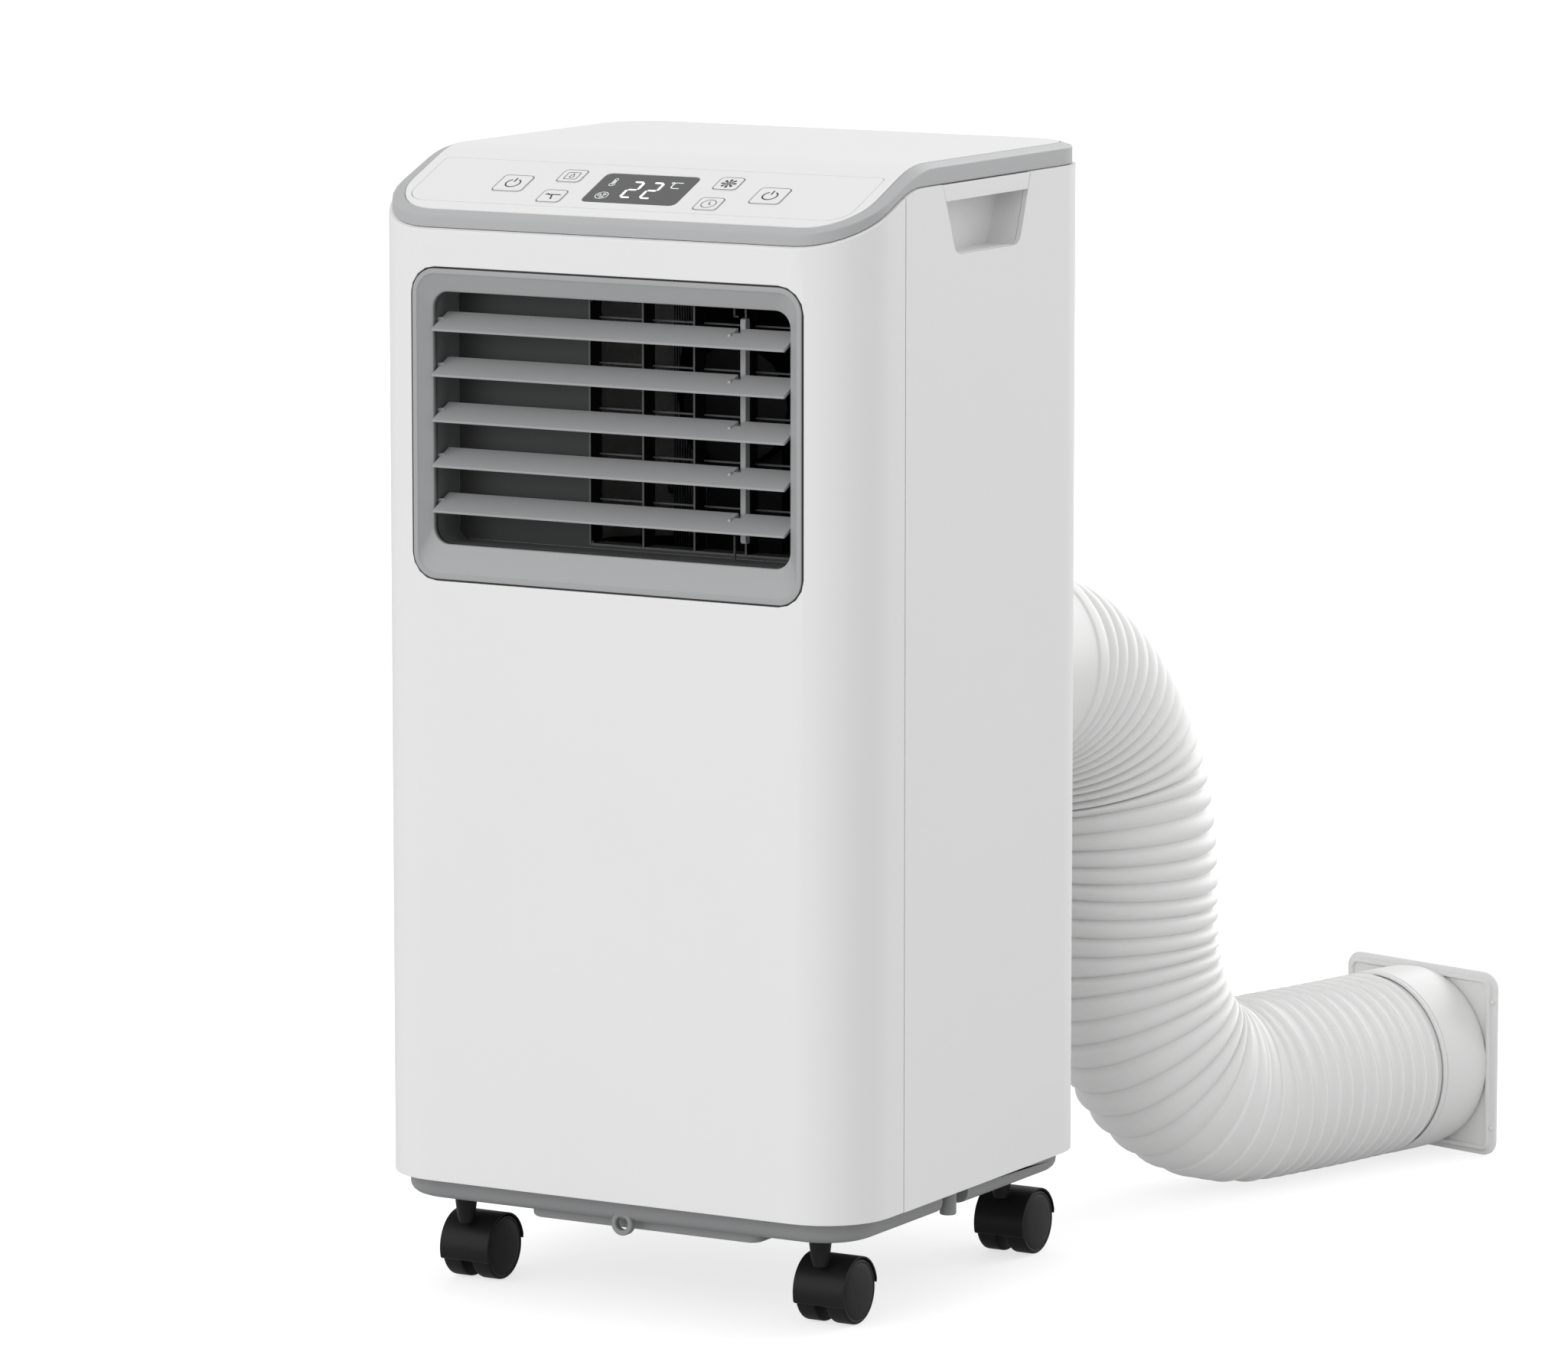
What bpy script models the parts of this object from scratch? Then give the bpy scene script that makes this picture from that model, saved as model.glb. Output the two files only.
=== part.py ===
"""A portable air conditioner with its exhaust hose, as separate solids.

Units are metres, +Z is up and -Y is the front. The origin is on the floor, under
the middle of the cabinet. Left and right are as seen from the front, so left is -X.
"""

import math

import bmesh
import bpy
from mathutils import Matrix, Vector

OBJECT_NAME = "portable_air_conditioner"
GAP = 0.0003            # between pieces that touch
RUN_IN = 0.001          # how far joined shapes run into each other
FAR = 0.2               # past any wall of the cabinet

# Cabinet
WIDTH = 0.332
DEPTH = 0.3005
HEIGHT = 0.680
CORNER = 0.042
WALL = 0.003
FRONT = -DEPTH / 2
REAR = DEPTH / 2
CABINET_BOTTOM = 0.069
SEAM_Y = -0.0895        # joint between the front and the rear shell

# Sloped top: a plane that rises to the rear, then a flat
SLOPE = 0.43
SLOPE_START = Vector((0.0, -0.1408, 0.648))
SLOPE_END_Y = SLOPE_START.y + (HEIGHT - SLOPE_START.z) / SLOPE
TOP_FILLET = 0.015
EDGE_FLAT = 0.667       # top edge of the cabinet's wall, under the trim band
EDGE_DROP = 0.0074      # how far that edge lies under the slope
EDGE_END_Y = SLOPE_END_Y - (HEIGHT - EDGE_FLAT - EDGE_DROP) / SLOPE
EDGE_FILLET = 0.012
BREAK_FIRST = -0.0915
BREAK_STEP = 0.0058
BREAK_COUNT = 8

# Trim band and top cover
BAND_INSET = 0.002
BAND_INNER = 0.0095
BAND_LEDGE = 0.013
BAND_FALL = 0.0025      # how far the band's top falls outwards, at the sides
COVER_THICKNESS = 0.004
POCKET_DEPTH = 0.0015

# Control panel, in places across and up the slope
PANEL_HALF = 0.1487
PANEL_LOW = 0.010
PANEL_HIGH = 0.063
PANEL_THICKNESS = 0.0012
PANEL_FRONT_RADIUS = 0.014
PANEL_REAR_RADIUS = 0.003
DISPLAY_SIZE = (0.0635, 0.0353)
DISPLAY_V = 0.0355
DISPLAY_RADIUS = 0.004
POWER_SIZE = (0.0205, 0.0195)
SMALL_SIZE = (0.016, 0.015)
BUTTONS = {
    "power_button_left": (-0.087, 0.035, POWER_SIZE),
    "power_button_right": (0.087, 0.035, POWER_SIZE),
    "mode_button": (-0.053, 0.0472, SMALL_SIZE),
    "swing_button": (-0.053, 0.022, SMALL_SIZE),
    "fan_button": (0.053, 0.0472, SMALL_SIZE),
    "timer_button": (0.053, 0.022, SMALL_SIZE),
}
BUTTON_RADIUS = 0.003
BUTTON_FLANGE = 0.0015
BUTTON_STEM_RADIUS = 0.002
BUTTON_STEM_END = -0.0078
BOARD_TOP = -0.0100
BOARD_THICKNESS = 0.0016
BOARD_HALF = 0.104
SWITCH_SIZE = 0.006
SWITCH_HEIGHT = 0.0012

# Air outlet at the front
FRAME_HALF = 0.1319
FRAME_LOW = 0.4302
FRAME_HIGH = 0.6146
FRAME_RADIUS = 0.016
FRAME_RIM = 0.0008
FRAME_GAP = 0.0005      # shadow line between the frame and the shell
FRAME_FLANGE = 0.003    # behind the wall, above and below the frame
FRAME_FLANGE_Y = FRONT + WALL + 0.0016
MOUTH_HALF = 0.1207
MOUTH_LOW = 0.451
MOUTH_HIGH = 0.600
MOUTH_RADIUS = 0.010
MOUTH_Y = FRONT + 0.006
FRAME_BACK = -0.1400
DUCT_WALL = 0.002
DUCT_HALF = 0.123
DUCT_LOW = 0.4485
DUCT_HIGH = 0.6025
DUCT_BACK = -0.1135
GUARD_LEFT = -0.031
GUARD_RIGHT = 0.119
GUARD_LOW = 0.4525
GUARD_HIGH = 0.5985
GUARD_LAP = 0.0025
GUARD_THICKNESS = 0.010
GUARD_BAR = 0.0016
GUARD_BAR_X = 0.0059
GUARD_PITCH_X = 0.0346
GUARD_COLUMNS = 4
GUARD_RISE = 0.0062     # of each level bar over the louver's pivot

# Louvers, from the top one down
LOUVER_COUNT = 5
LOUVER_PITCH = 0.0268
LOUVER_HALF = 0.119
LOUVER_TIP = Vector((-0.148, 0.5776))
LOUVER_CHORD = Vector((0.018, 0.0085))
LOUVER_PIVOT = Vector((-0.1372, 0.5827))
LOUVER_THICKNESS = 0.0018
PIN_RADIUS = 0.0015
PIN_END = 0.1225
CRANK_LENGTH = 0.0115
CRANK_X = (0.0762, 0.0779)
CRANK_HALF = 0.002
CRANK_PIN = 0.001
CRANK_PIN_END = 0.0822
ROD_X = (0.0784, 0.0819)
ROD_HALF = 0.0025
ROD_LOW = 0.4615
ROD_HIGH = 0.5925
ROD_HOLE = 0.00135
NOTCH_START = 0.002     # behind the pivot
NOTCH_SIDE = 0.0005

# Side handles: a trapezoid, narrower at its lower edge
HANDLE_HIGH = EDGE_FLAT
HANDLE_LOW = 0.6255
HANDLE_TOP_Y = (-0.0456, 0.0617)
HANDLE_BOTTOM_Y = (-0.028, 0.046)
HANDLE_RADIUS = 0.008
HANDLE_BACK = 0.145
HANDLE_SKIN = 0.002
HANDLE_LIP = 0.010
LIP_THICKNESS = 0.008

# Rear of the cabinet
DOOR_HALF = 0.1147
DOOR_LOW = 0.4487
DOOR_HIGH = 0.6277
DOOR_THICKNESS = 0.0025
DOOR_AXIS = Vector((0.0, REAR - 0.0014, 0.4512))
DOOR_PIN = 0.0008
DOOR_PIN_HOLE = 0.0011
DOOR_PIN_END = 0.1168
DOOR_ROWS = 9
LOWER_GRILLE_HALF = 0.122
LOWER_GRILLE_LOW = 0.110
LOWER_GRILLE_HIGH = 0.250
LOWER_GRILLE_ROWS = 7
GRILLE_COLUMNS = 2
GRILLE_BORDER = 0.008
GRILLE_BAR = 0.004
FILTER_HALF = 0.108
FILTER_LOW = 0.457
FILTER_HIGH = 0.620
FILTER_THICKNESS = 0.003
FILTER_BORDER = 0.006
PLUG_PLACE = Vector((-0.100, REAR, 0.0895))
PLUG_RADIUS = 0.0057
PLUG_HEAD = 0.0078
PLUG_LENGTH = 0.010
GLAND_PLACE = Vector((-0.115, REAR, 0.340))
GLAND_RADIUS = 0.007
GLAND_HEAD = 0.010
GLAND_BORE = 0.0042

# Base tray
BASE_INSET = 0.009
BASE_LOW = 0.0555
TRAY_FLOOR = 0.0735
TRAY_RIM = 0.083
TRAY_RIM_WIDTH = 0.003
BELLY = (Vector((-0.065, -0.139, 0.050)), Vector((0.092, -0.085, 0.058)))
EYELET_Z = 0.0527
EYELET_RADIUS = 0.0045
EYELET_HOLE = 0.0018
EYELET_FRONT = -0.1425
SIDE_NOTCH_Y = (-0.026, 0.005)
SIDE_NOTCH_X = 0.147
SIDE_BOSS_RADIUS = 0.005

# Casters
STEM_X = 0.1221
STEM_Y = 0.111
STEM_RADIUS = 0.004
STEM_TOP = 0.0655
STEM_CLEARANCE = 0.0004
POST_RADIUS = 0.0055
POST_LOW = 0.0356
POST_TOP = 0.0545
TRAIL = 0.0175
WHEEL_RADIUS = 0.0195
WHEEL_SIDES = 16
WHEEL_INNER_FACE = 0.0038
WHEEL_OUTER_FACE = 0.0163
WHEEL_CHAMFER = 0.0015
AXLE_RADIUS = 0.003
AXLE_HALF = 0.016
HOOD_INNER = 0.0207
HOOD_OUTER = 0.0223
HOOD_HALF = 0.0175
HOOD_ANGLES = (28, 200)
WEB_HALF = 0.003
WEB_FOOT = 0.008

# Exhaust hose: the route of its middle, from the rear wall to its end in the adapter
HOSE_ROUTE = (
    (0.0755, 0.1500, 0.3500),
    (0.0760, 0.1790, 0.3500),
    (0.0775, 0.2070, 0.3485),
    (0.0795, 0.2345, 0.3430),
    (0.0825, 0.2600, 0.3315),
    (0.0860, 0.2815, 0.3135),
    (0.0900, 0.2975, 0.2905),
    (0.0945, 0.3065, 0.2645),
    (0.0995, 0.3085, 0.2365),
    (0.1018, 0.3090, 0.2081),
    (0.1026, 0.3086, 0.1805),
    (0.1044, 0.3089, 0.1528),
    (0.1097, 0.3111, 0.1249),
    (0.1175, 0.3178, 0.0993),
    (0.1266, 0.3302, 0.0791),
    (0.1371, 0.3471, 0.0661),
    (0.1469, 0.3688, 0.0602),
    (0.1558, 0.3929, 0.0600),
    (0.1639, 0.4185, 0.0600),
    (0.1720, 0.4450, 0.0600),
    (0.1790, 0.4725, 0.0600),
    (0.1860, 0.5000, 0.0600),
    (0.19316, 0.52707, 0.0600),
)
HOSE_RADIUS = 0.059
HOSE_WALL = 0.005
HOSE_CUFF = 0.0565      # radius where the hose is pushed into the adapter
HOSE_STEP = 0.027
ROUND_STEPS = 24
CONNECTOR_INNER = 0.0600
CONNECTOR_TUBE = 0.0622
CONNECTOR_FLANGE = 0.0665
CONNECTOR_BEAD = 0.0645
# along Y, height of the middle, tilt in degrees, outer radius
CONNECTOR_SECTIONS = (
    (0.1330, 0.3500, 0.0, CONNECTOR_TUBE),
    (0.1506, 0.3500, 0.0, CONNECTOR_TUBE),
    (0.1506, 0.3500, 0.0, CONNECTOR_FLANGE),
    (0.1540, 0.3500, 0.0, CONNECTOR_FLANGE),
    (0.1545, 0.3500, 0.0, 0.0628),
    (0.1970, 0.3492, 10.0, 0.0632),
    (0.1975, 0.3491, 11.0, CONNECTOR_BEAD),
    (0.2060, 0.3485, 12.0, CONNECTOR_BEAD),
)
ADAPTER_LENGTH = 0.040
ADAPTER_BORE = 0.0572
ADAPTER_OUTER = 0.0592
ADAPTER_STOP = 0.030
ADAPTER_THROAT = 0.052
PLATE_HALF = 0.0598
PLATE_START = 0.0405
PLATE_THICKNESS = 0.004
PLATE_BORDER = 0.004
PLATE_RADIUS = 0.010

# Inside
SHELF_LOW = 0.4180
SHELF_HIGH = 0.4220
SHELF_INSET = WALL + 0.0006
COIL_Y = (0.106, 0.138)
EVAPORATOR_HALF = 0.105
EVAPORATOR_TOP = 0.622
CONDENSER_HALF = 0.115
CONDENSER_TOP = 0.268
COIL_TUBES = 3
COIL_TUBE_RADIUS = 0.004
COIL_TUBE_OUT = 0.012
BLOWER_BLADES = 11
HUB_RADIUS = 0.010
SHAFT_RADIUS = 0.004
COMPRESSOR_PLACE = Vector((-0.070, -0.035, 0.0))

# Colour, roughness and metallic value of each finish
FINISHES = {
    "white_plastic": ((0.86, 0.86, 0.87), 0.45, 0.0),
    "trim_grey": ((0.42, 0.43, 0.45), 0.40, 0.0),
    "frame_grey": ((0.34, 0.34, 0.35), 0.45, 0.0),
    "louver_grey": ((0.28, 0.29, 0.30), 0.45, 0.0),
    "duct_black": ((0.03, 0.03, 0.03), 0.60, 0.0),
    "display_black": ((0.05, 0.05, 0.055), 0.10, 0.0),
    "base_grey": ((0.26, 0.26, 0.27), 0.55, 0.0),
    "caster_black": ((0.02, 0.02, 0.02), 0.40, 0.0),
    "steel": ((0.60, 0.60, 0.62), 0.30, 1.0),
    "hose_white": ((0.72, 0.72, 0.72), 0.50, 0.0),
    "copper": ((0.72, 0.36, 0.20), 0.35, 1.0),
    "aluminium": ((0.75, 0.75, 0.76), 0.40, 1.0),
    "compressor_black": ((0.04, 0.04, 0.045), 0.40, 0.0),
    "board_green": ((0.05, 0.22, 0.10), 0.50, 0.0),
    "rubber": ((0.03, 0.03, 0.03), 0.80, 0.0),
}


def reset_scene():
    """Empty the scene and make one collection for the parts and one for the cutters."""
    for old in list(bpy.data.objects):
        bpy.data.objects.remove(old)
    made = []
    for name in (OBJECT_NAME, "cutters"):
        group = bpy.data.collections.new(name)
        bpy.context.scene.collection.children.link(group)
        made.append(group)
    return made


def make_finish(name):
    color, roughness, metallic = FINISHES[name]
    material = bpy.data.materials.new(name)
    material.use_nodes = True
    shader = material.node_tree.nodes["Principled BSDF"]
    shader.inputs["Base Color"].default_value = (*color, 1.0)
    shader.inputs["Roughness"].default_value = roughness
    shader.inputs["Metallic"].default_value = metallic
    return material


PARTS, CUTTERS = reset_scene()


# ---------------------------------------------------------------- frames

def axes(across, up, origin=(0.0, 0.0, 0.0)):
    """A frame whose local X runs across and local Y runs up."""
    across = Vector(across).normalized()
    up = Vector(up).normalized()
    frame = Matrix((across, up, across.cross(up))).transposed().to_4x4()
    frame.translation = Vector(origin)
    return frame


LEVEL = Matrix.Identity(4)                                  # local Z is +Z
UPRIGHT = axes((1, 0, 0), (0, 0, 1))                        # local Z is -Y
SIDE = axes((0, 1, 0), (0, 0, 1))                           # local Z is +X
SLOPED = axes((1, 0, 0), (0, 1, SLOPE), SLOPE_START)        # local Z leaves the slope


# ---------------------------------------------------------------- shapes

def as_shape(mesh):
    """Put a mesh among the cutters, where it can cut, join or become a part."""
    shape = bpy.data.objects.new(mesh.name, mesh)
    shape.hide_render = True
    shape.display_type = "WIRE"
    CUTTERS.objects.link(shape)
    return shape


def from_bmesh(work, name):
    bmesh.ops.recalc_face_normals(work, faces=work.faces)
    mesh = bpy.data.meshes.new(name)
    work.to_mesh(mesh)
    work.free()
    return as_shape(mesh)


def box(low, high):
    low, high = Vector(low), Vector(high)
    work = bmesh.new()
    bmesh.ops.create_cube(work, size=1.0)
    bmesh.ops.scale(work, vec=high - low, verts=work.verts)
    bmesh.ops.translate(work, vec=(low + high) / 2, verts=work.verts)
    return from_bmesh(work, "box")


def rod(start, end, radius, sides=12, end_radius=None):
    """A cylinder, or a cone where the radius at its end differs."""
    start, end = Vector(start), Vector(end)
    along = end - start
    work = bmesh.new()
    bmesh.ops.create_cone(
        work, cap_ends=True, segments=sides, depth=along.length,
        radius1=radius, radius2=radius if end_radius is None else end_radius)
    turn = along.to_track_quat("Z", "Y").to_matrix().to_4x4()
    bmesh.ops.transform(work, matrix=Matrix.Translation((start + end) / 2) @ turn, verts=work.verts)
    return from_bmesh(work, "rod")


def plate(outlines, low, high, frame=LEVEL):
    """A flat outline, with any holes, between two distances along the frame's local Z."""
    curve = bpy.data.curves.new("outline", "CURVE")
    curve.dimensions = "2D"
    curve.fill_mode = "BOTH"
    curve.extrude = (high - low) / 2
    for outline in outlines:
        spline = curve.splines.new("POLY")
        spline.points.add(len(outline) - 1)
        for point, (u, v) in zip(spline.points, outline):
            point.co = (u, v, 0.0, 1.0)
        spline.use_cyclic_u = True
    mesh = mesh_of_curve(curve)
    mesh.transform(frame @ Matrix.Translation((0.0, 0.0, (low + high) / 2)))
    return as_shape(mesh)


def mesh_of_curve(curve):
    """The welded mesh of a curve, which is removed."""
    holder = bpy.data.objects.new(curve.name, curve)
    CUTTERS.objects.link(holder)
    evaluated = holder.evaluated_get(bpy.context.evaluated_depsgraph_get())
    mesh = bpy.data.meshes.new_from_object(evaluated)
    work = bmesh.new()
    work.from_mesh(mesh)
    bmesh.ops.remove_doubles(work, verts=work.verts, dist=0.00001)
    bmesh.ops.recalc_face_normals(work, faces=work.faces)
    work.to_mesh(mesh)
    work.free()
    bpy.data.objects.remove(holder)
    bpy.data.curves.remove(curve)
    return mesh


def turned(profile, frame, steps=ROUND_STEPS, closed=False):
    """A profile of (radius, height) points, from the top down, turned about local Z."""
    work = bmesh.new()
    points = [work.verts.new((radius, 0.0, height)) for radius, height in profile]
    for first, second in zip(points, points[1:]):
        work.edges.new((first, second))
    if closed:
        work.edges.new((points[-1], points[0]))
    mesh = bpy.data.meshes.new("profile")
    work.to_mesh(mesh)
    work.free()
    shape = as_shape(mesh)
    shape.matrix_world = frame
    screw = shape.modifiers.new("turn", "SCREW")
    screw.steps = steps
    screw.render_steps = steps
    screw.use_merge_vertices = True
    screw.merge_threshold = 0.00001
    return shape


def loft(loops):
    """A ring-shaped skin through loops of points, the last one joined to the first."""
    work = bmesh.new()
    rings = [[work.verts.new(point) for point in loop] for loop in loops]
    for ring, after in zip(rings, rings[1:] + rings[:1]):
        for i in range(len(ring)):
            j = (i + 1) % len(ring)
            work.faces.new((ring[i], ring[j], after[j], after[i]))
    return from_bmesh(work, "loft")


def combine(shape, tools, operation):
    for tool in tools:
        step = shape.modifiers.new(operation.lower(), "BOOLEAN")
        step.operation = operation
        step.object = tool
    return shape


def cut(shape, *tools):
    return combine(shape, tools, "DIFFERENCE")


def join(shape, *tools):
    return combine(shape, tools, "UNION")


def keep_inside(shape, tool):
    return combine(shape, [tool], "INTERSECT")


def make_part(name, shape, finish, pivot=None):
    """Turn a shape into a named part, with its origin on its joint's axis if it moves."""
    CUTTERS.objects.unlink(shape)
    PARTS.objects.link(shape)
    shape.name = name
    shape.data.name = name
    shape.hide_render = False
    shape.display_type = "TEXTURED"
    shape.data.materials.clear()
    shape.data.materials.append(MATERIALS[finish])
    if pivot is not None:
        shape.data.transform(Matrix.Translation(-Vector(pivot)))
        shape.location = Vector(pivot)
    return shape


# ---------------------------------------------------------------- outlines

def arc(center, radius, first, last, steps):
    """Points on an arc between two angles in degrees."""
    points = []
    for i in range(steps + 1):
        angle = math.radians(first + (last - first) * i / steps)
        points.append((center[0] + radius * math.cos(angle), center[1] + radius * math.sin(angle)))
    return points


def circle(center, radius, sides=ROUND_STEPS):
    return arc(center, radius, 0.0, 360.0, sides)[:-1]


def rounded(left, right, low, high, radius, steps=4, high_radius=None):
    """A rectangle with round corners; the two upper ones may have their own radius."""
    top = radius if high_radius is None else high_radius
    return (arc((right - radius, low + radius), radius, -90, 0, steps)
            + arc((right - top, high - top), top, 0, 90, steps)
            + arc((left + top, high - top), top, 90, 180, steps)
            + arc((left + radius, low + radius), radius, 180, 270, steps))


def centered(center, size, radius, grow=0.0, steps=3):
    """A round-cornered rectangle about a point, grown on every side."""
    half_u = size[0] / 2 + grow
    half_v = size[1] / 2 + grow
    u, v = center
    return rounded(u - half_u, u + half_u, v - half_v, v + half_v, radius, steps)


def cabinet_outline(inset, steps=8):
    half = WIDTH / 2 - inset
    return rounded(-half, half, FRONT + inset, REAR - inset, CORNER - inset, steps)


def crest(y, flat, end_y, fillet):
    """Height of a line that rises at SLOPE, then runs flat, with a parabola between."""
    if y <= end_y - fillet:
        return flat - SLOPE * (end_y - y)
    if y >= end_y + fillet:
        return flat
    return flat - SLOPE * (end_y + fillet - y) ** 2 / (4 * fillet)


def top_z(y):
    return crest(y, HEIGHT, SLOPE_END_Y, TOP_FILLET)


def edge_z(y):
    return crest(y, EDGE_FLAT, EDGE_END_Y, EDGE_FILLET)


BREAKS = [BREAK_FIRST + BREAK_STEP * i for i in range(BREAK_COUNT)]


def profile_line(height):
    """A height function of Y as a polyline from past the front to past the rear."""
    return [(y, height(y)) for y in (-FAR, *BREAKS, FAR)]


# ---------------------------------------------------------------- cabinet

def wall_ring():
    """The cabinet's wall all round, up to its sloped top edge."""
    ring = plate([cabinet_outline(0.0), cabinet_outline(WALL)], CABINET_BOTTOM, HEIGHT)
    above = profile_line(edge_z) + [(FAR, HEIGHT + FAR), (-FAR, HEIGHT + FAR)]
    return cut(ring, plate([above], -FAR, FAR, SIDE))


def front_shell():
    shell = cut(wall_ring(), box((-FAR, SEAM_Y - GAP, 0.0), (FAR, FAR, HEIGHT + FAR)))
    mouth = rounded(-FRAME_HALF - FRAME_GAP, FRAME_HALF + FRAME_GAP,
                    FRAME_LOW - FRAME_GAP, FRAME_HIGH + FRAME_GAP, FRAME_RADIUS + FRAME_GAP)
    cut(shell, plate([mouth], -FRAME_BACK, FAR, UPRIGHT))
    make_part("front_shell", shell, "white_plastic")


def handle_outline(grow):
    """The handle's trapezoid, with the lower corners rounded, grown by a distance."""
    top_front, top_rear = HANDLE_TOP_Y
    low_front, low_rear = HANDLE_BOTTOM_Y
    lean = math.degrees(math.atan2(HANDLE_HIGH - HANDLE_LOW, top_rear - low_rear))
    low = HANDLE_LOW - grow
    radius = HANDLE_RADIUS + grow
    rear = (low_rear - HANDLE_RADIUS / 2, low + radius)
    front = (low_front + HANDLE_RADIUS / 2, low + radius)
    return ([(top_rear + grow, HANDLE_HIGH + grow)]
            + arc(rear, radius, lean - 90, -90, 3)
            + arc(front, radius, -90, -90 - lean, 3)
            + [(top_front - grow, HANDLE_HIGH + grow)])


def rear_cabinet():
    shell = cut(wall_ring(), box((-FAR, -FAR, 0.0), (FAR, SEAM_Y + GAP, HEIGHT + FAR)))
    cut(shell, plate([handle_outline(GAP)], -FAR, FAR, SIDE))
    upper = rounded(-DOOR_HALF - GAP, DOOR_HALF + GAP, DOOR_LOW - 0.0007, DOOR_HIGH + GAP, 0.004)
    lower = rounded(-LOWER_GRILLE_HALF - GAP, LOWER_GRILLE_HALF + GAP,
                    LOWER_GRILLE_LOW - GAP, LOWER_GRILLE_HIGH + GAP, 0.004)
    for outline in (upper, lower):
        cut(shell, plate([outline], -FAR, -REAR + 0.02, UPRIGHT))
    x, y, z = HOSE_ROUTE[0]
    wall_hole = plate([circle((x, z), CONNECTOR_TUBE + 2 * GAP)], -FAR, -REAR + 0.02, UPRIGHT)
    plug_hole = through_rear(PLUG_PLACE, PLUG_RADIUS + GAP)
    gland_hole = through_rear(GLAND_PLACE, GLAND_RADIUS + GAP)
    pin_holes = rod((-DOOR_PIN_END - GAP, DOOR_AXIS.y, DOOR_AXIS.z),
                    (DOOR_PIN_END + GAP, DOOR_AXIS.y, DOOR_AXIS.z), DOOR_PIN_HOLE, 8)
    cut(shell, wall_hole, plug_hole, gland_hole, pin_holes)
    make_part("rear_cabinet", shell, "white_plastic")


def through_rear(place, radius):
    """A cutter through the rear wall."""
    return rod((place.x, REAR - 0.02, place.z), (place.x, REAR + 0.02, place.z), radius, 16)


def band_loop(inset, height):
    """The cabinet's outline at an inset, with points where the top's slope changes."""
    corners = cabinet_outline(inset)
    quarter = len(corners) // 4
    half = WIDTH / 2 - inset
    flat = (corners[:quarter]
            + [(half, y) for y in BREAKS]
            + corners[quarter:3 * quarter]
            + [(-half, y) for y in reversed(BREAKS)]
            + corners[3 * quarter:])
    return [(x, y, height(y)) for x, y in flat]


def band_ridge(y):
    """The band's outer edge, level with the slope at the front and lower at the sides."""
    share = (y - FRONT) / (SLOPE_END_Y - FRONT)
    return top_z(y) - BAND_FALL * min(max(share, 0.0), 1.0)


def trim_band():
    def foot(y):
        return edge_z(y) + GAP

    def ledge(y):
        return top_z(y) - COVER_THICKNESS - GAP

    ring = loft([
        band_loop(BAND_INSET, foot),
        band_loop(BAND_INSET, band_ridge),
        band_loop(BAND_INNER, top_z),
        band_loop(BAND_INNER, ledge),
        band_loop(BAND_LEDGE, ledge),
        band_loop(BAND_LEDGE, foot),
    ])
    make_part("trim_band", ring, "trim_grey")


def button_outline(name, grow):
    u, v, size = BUTTONS[name]
    return centered((u, v), size, BUTTON_RADIUS, grow)


def top_cover():
    upper = profile_line(top_z)
    lower = [(y, z - COVER_THICKNESS) for y, z in reversed(upper)]
    cover = plate([upper + lower], -FAR, FAR, SIDE)
    keep_inside(cover, plate([cabinet_outline(BAND_INNER + GAP)], HEIGHT - FAR, HEIGHT + FAR))
    cut(cover, plate([panel_outline(GAP)], -POCKET_DEPTH, FAR, SLOPED))
    for name in BUTTONS:
        cut(cover, plate([button_outline(name, GAP)], -FAR / 10, FAR / 10, SLOPED))
    window = centered((0.0, DISPLAY_V), DISPLAY_SIZE, DISPLAY_RADIUS, -0.003)
    cut(cover, plate([window], -FAR / 10, FAR / 10, SLOPED))
    make_part("top_cover", cover, "white_plastic")


def panel_outline(grow):
    return rounded(-PANEL_HALF - grow, PANEL_HALF + grow, PANEL_LOW - grow, PANEL_HIGH + grow,
                   PANEL_FRONT_RADIUS, 5, PANEL_REAR_RADIUS)


def control_panel():
    """The printed panel, its window, its buttons and the board under them."""
    holes = [button_outline(name, GAP) for name in BUTTONS]
    holes.append(centered((0.0, DISPLAY_V), DISPLAY_SIZE, DISPLAY_RADIUS, GAP))
    sheet = plate([panel_outline(0.0)] + holes, -PANEL_THICKNESS, 0.0, SLOPED)
    make_part("control_panel", sheet, "white_plastic")
    glass = centered((0.0, DISPLAY_V), DISPLAY_SIZE, DISPLAY_RADIUS)
    make_part("display_window", plate([glass], -PANEL_THICKNESS, 0.0, SLOPED), "display_black")
    under_cover = -COVER_THICKNESS * math.cos(math.atan(SLOPE)) - GAP
    board = plate([rounded(-BOARD_HALF, BOARD_HALF, 0.013, 0.057, 0.002, 2)],
                  BOARD_TOP - BOARD_THICKNESS, BOARD_TOP, SLOPED)
    for name, (u, v, size) in BUTTONS.items():
        cap = plate([button_outline(name, 0.0)], under_cover - RUN_IN, GAP, SLOPED)
        flange = plate([button_outline(name, BUTTON_FLANGE)],
                       under_cover - RUN_IN, under_cover, SLOPED)
        stem = rod(SLOPED @ Vector((u, v, BUTTON_STEM_END)),
                   SLOPED @ Vector((u, v, under_cover)), BUTTON_STEM_RADIUS, 8)
        make_part(name, join(cap, flange, stem), "white_plastic", SLOPED @ Vector((u, v, 0.0)))
        switch = centered((u, v), (SWITCH_SIZE, SWITCH_SIZE), 0.001, 0.0, 1)
        join(board, plate([switch], BOARD_TOP - RUN_IN / 2, BOARD_TOP + SWITCH_HEIGHT, SLOPED))
    make_part("control_board", board, "board_green")


# ---------------------------------------------------------------- air outlet

def ring_points(outline, y):
    return [(u, y, v) for u, v in outline]


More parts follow.
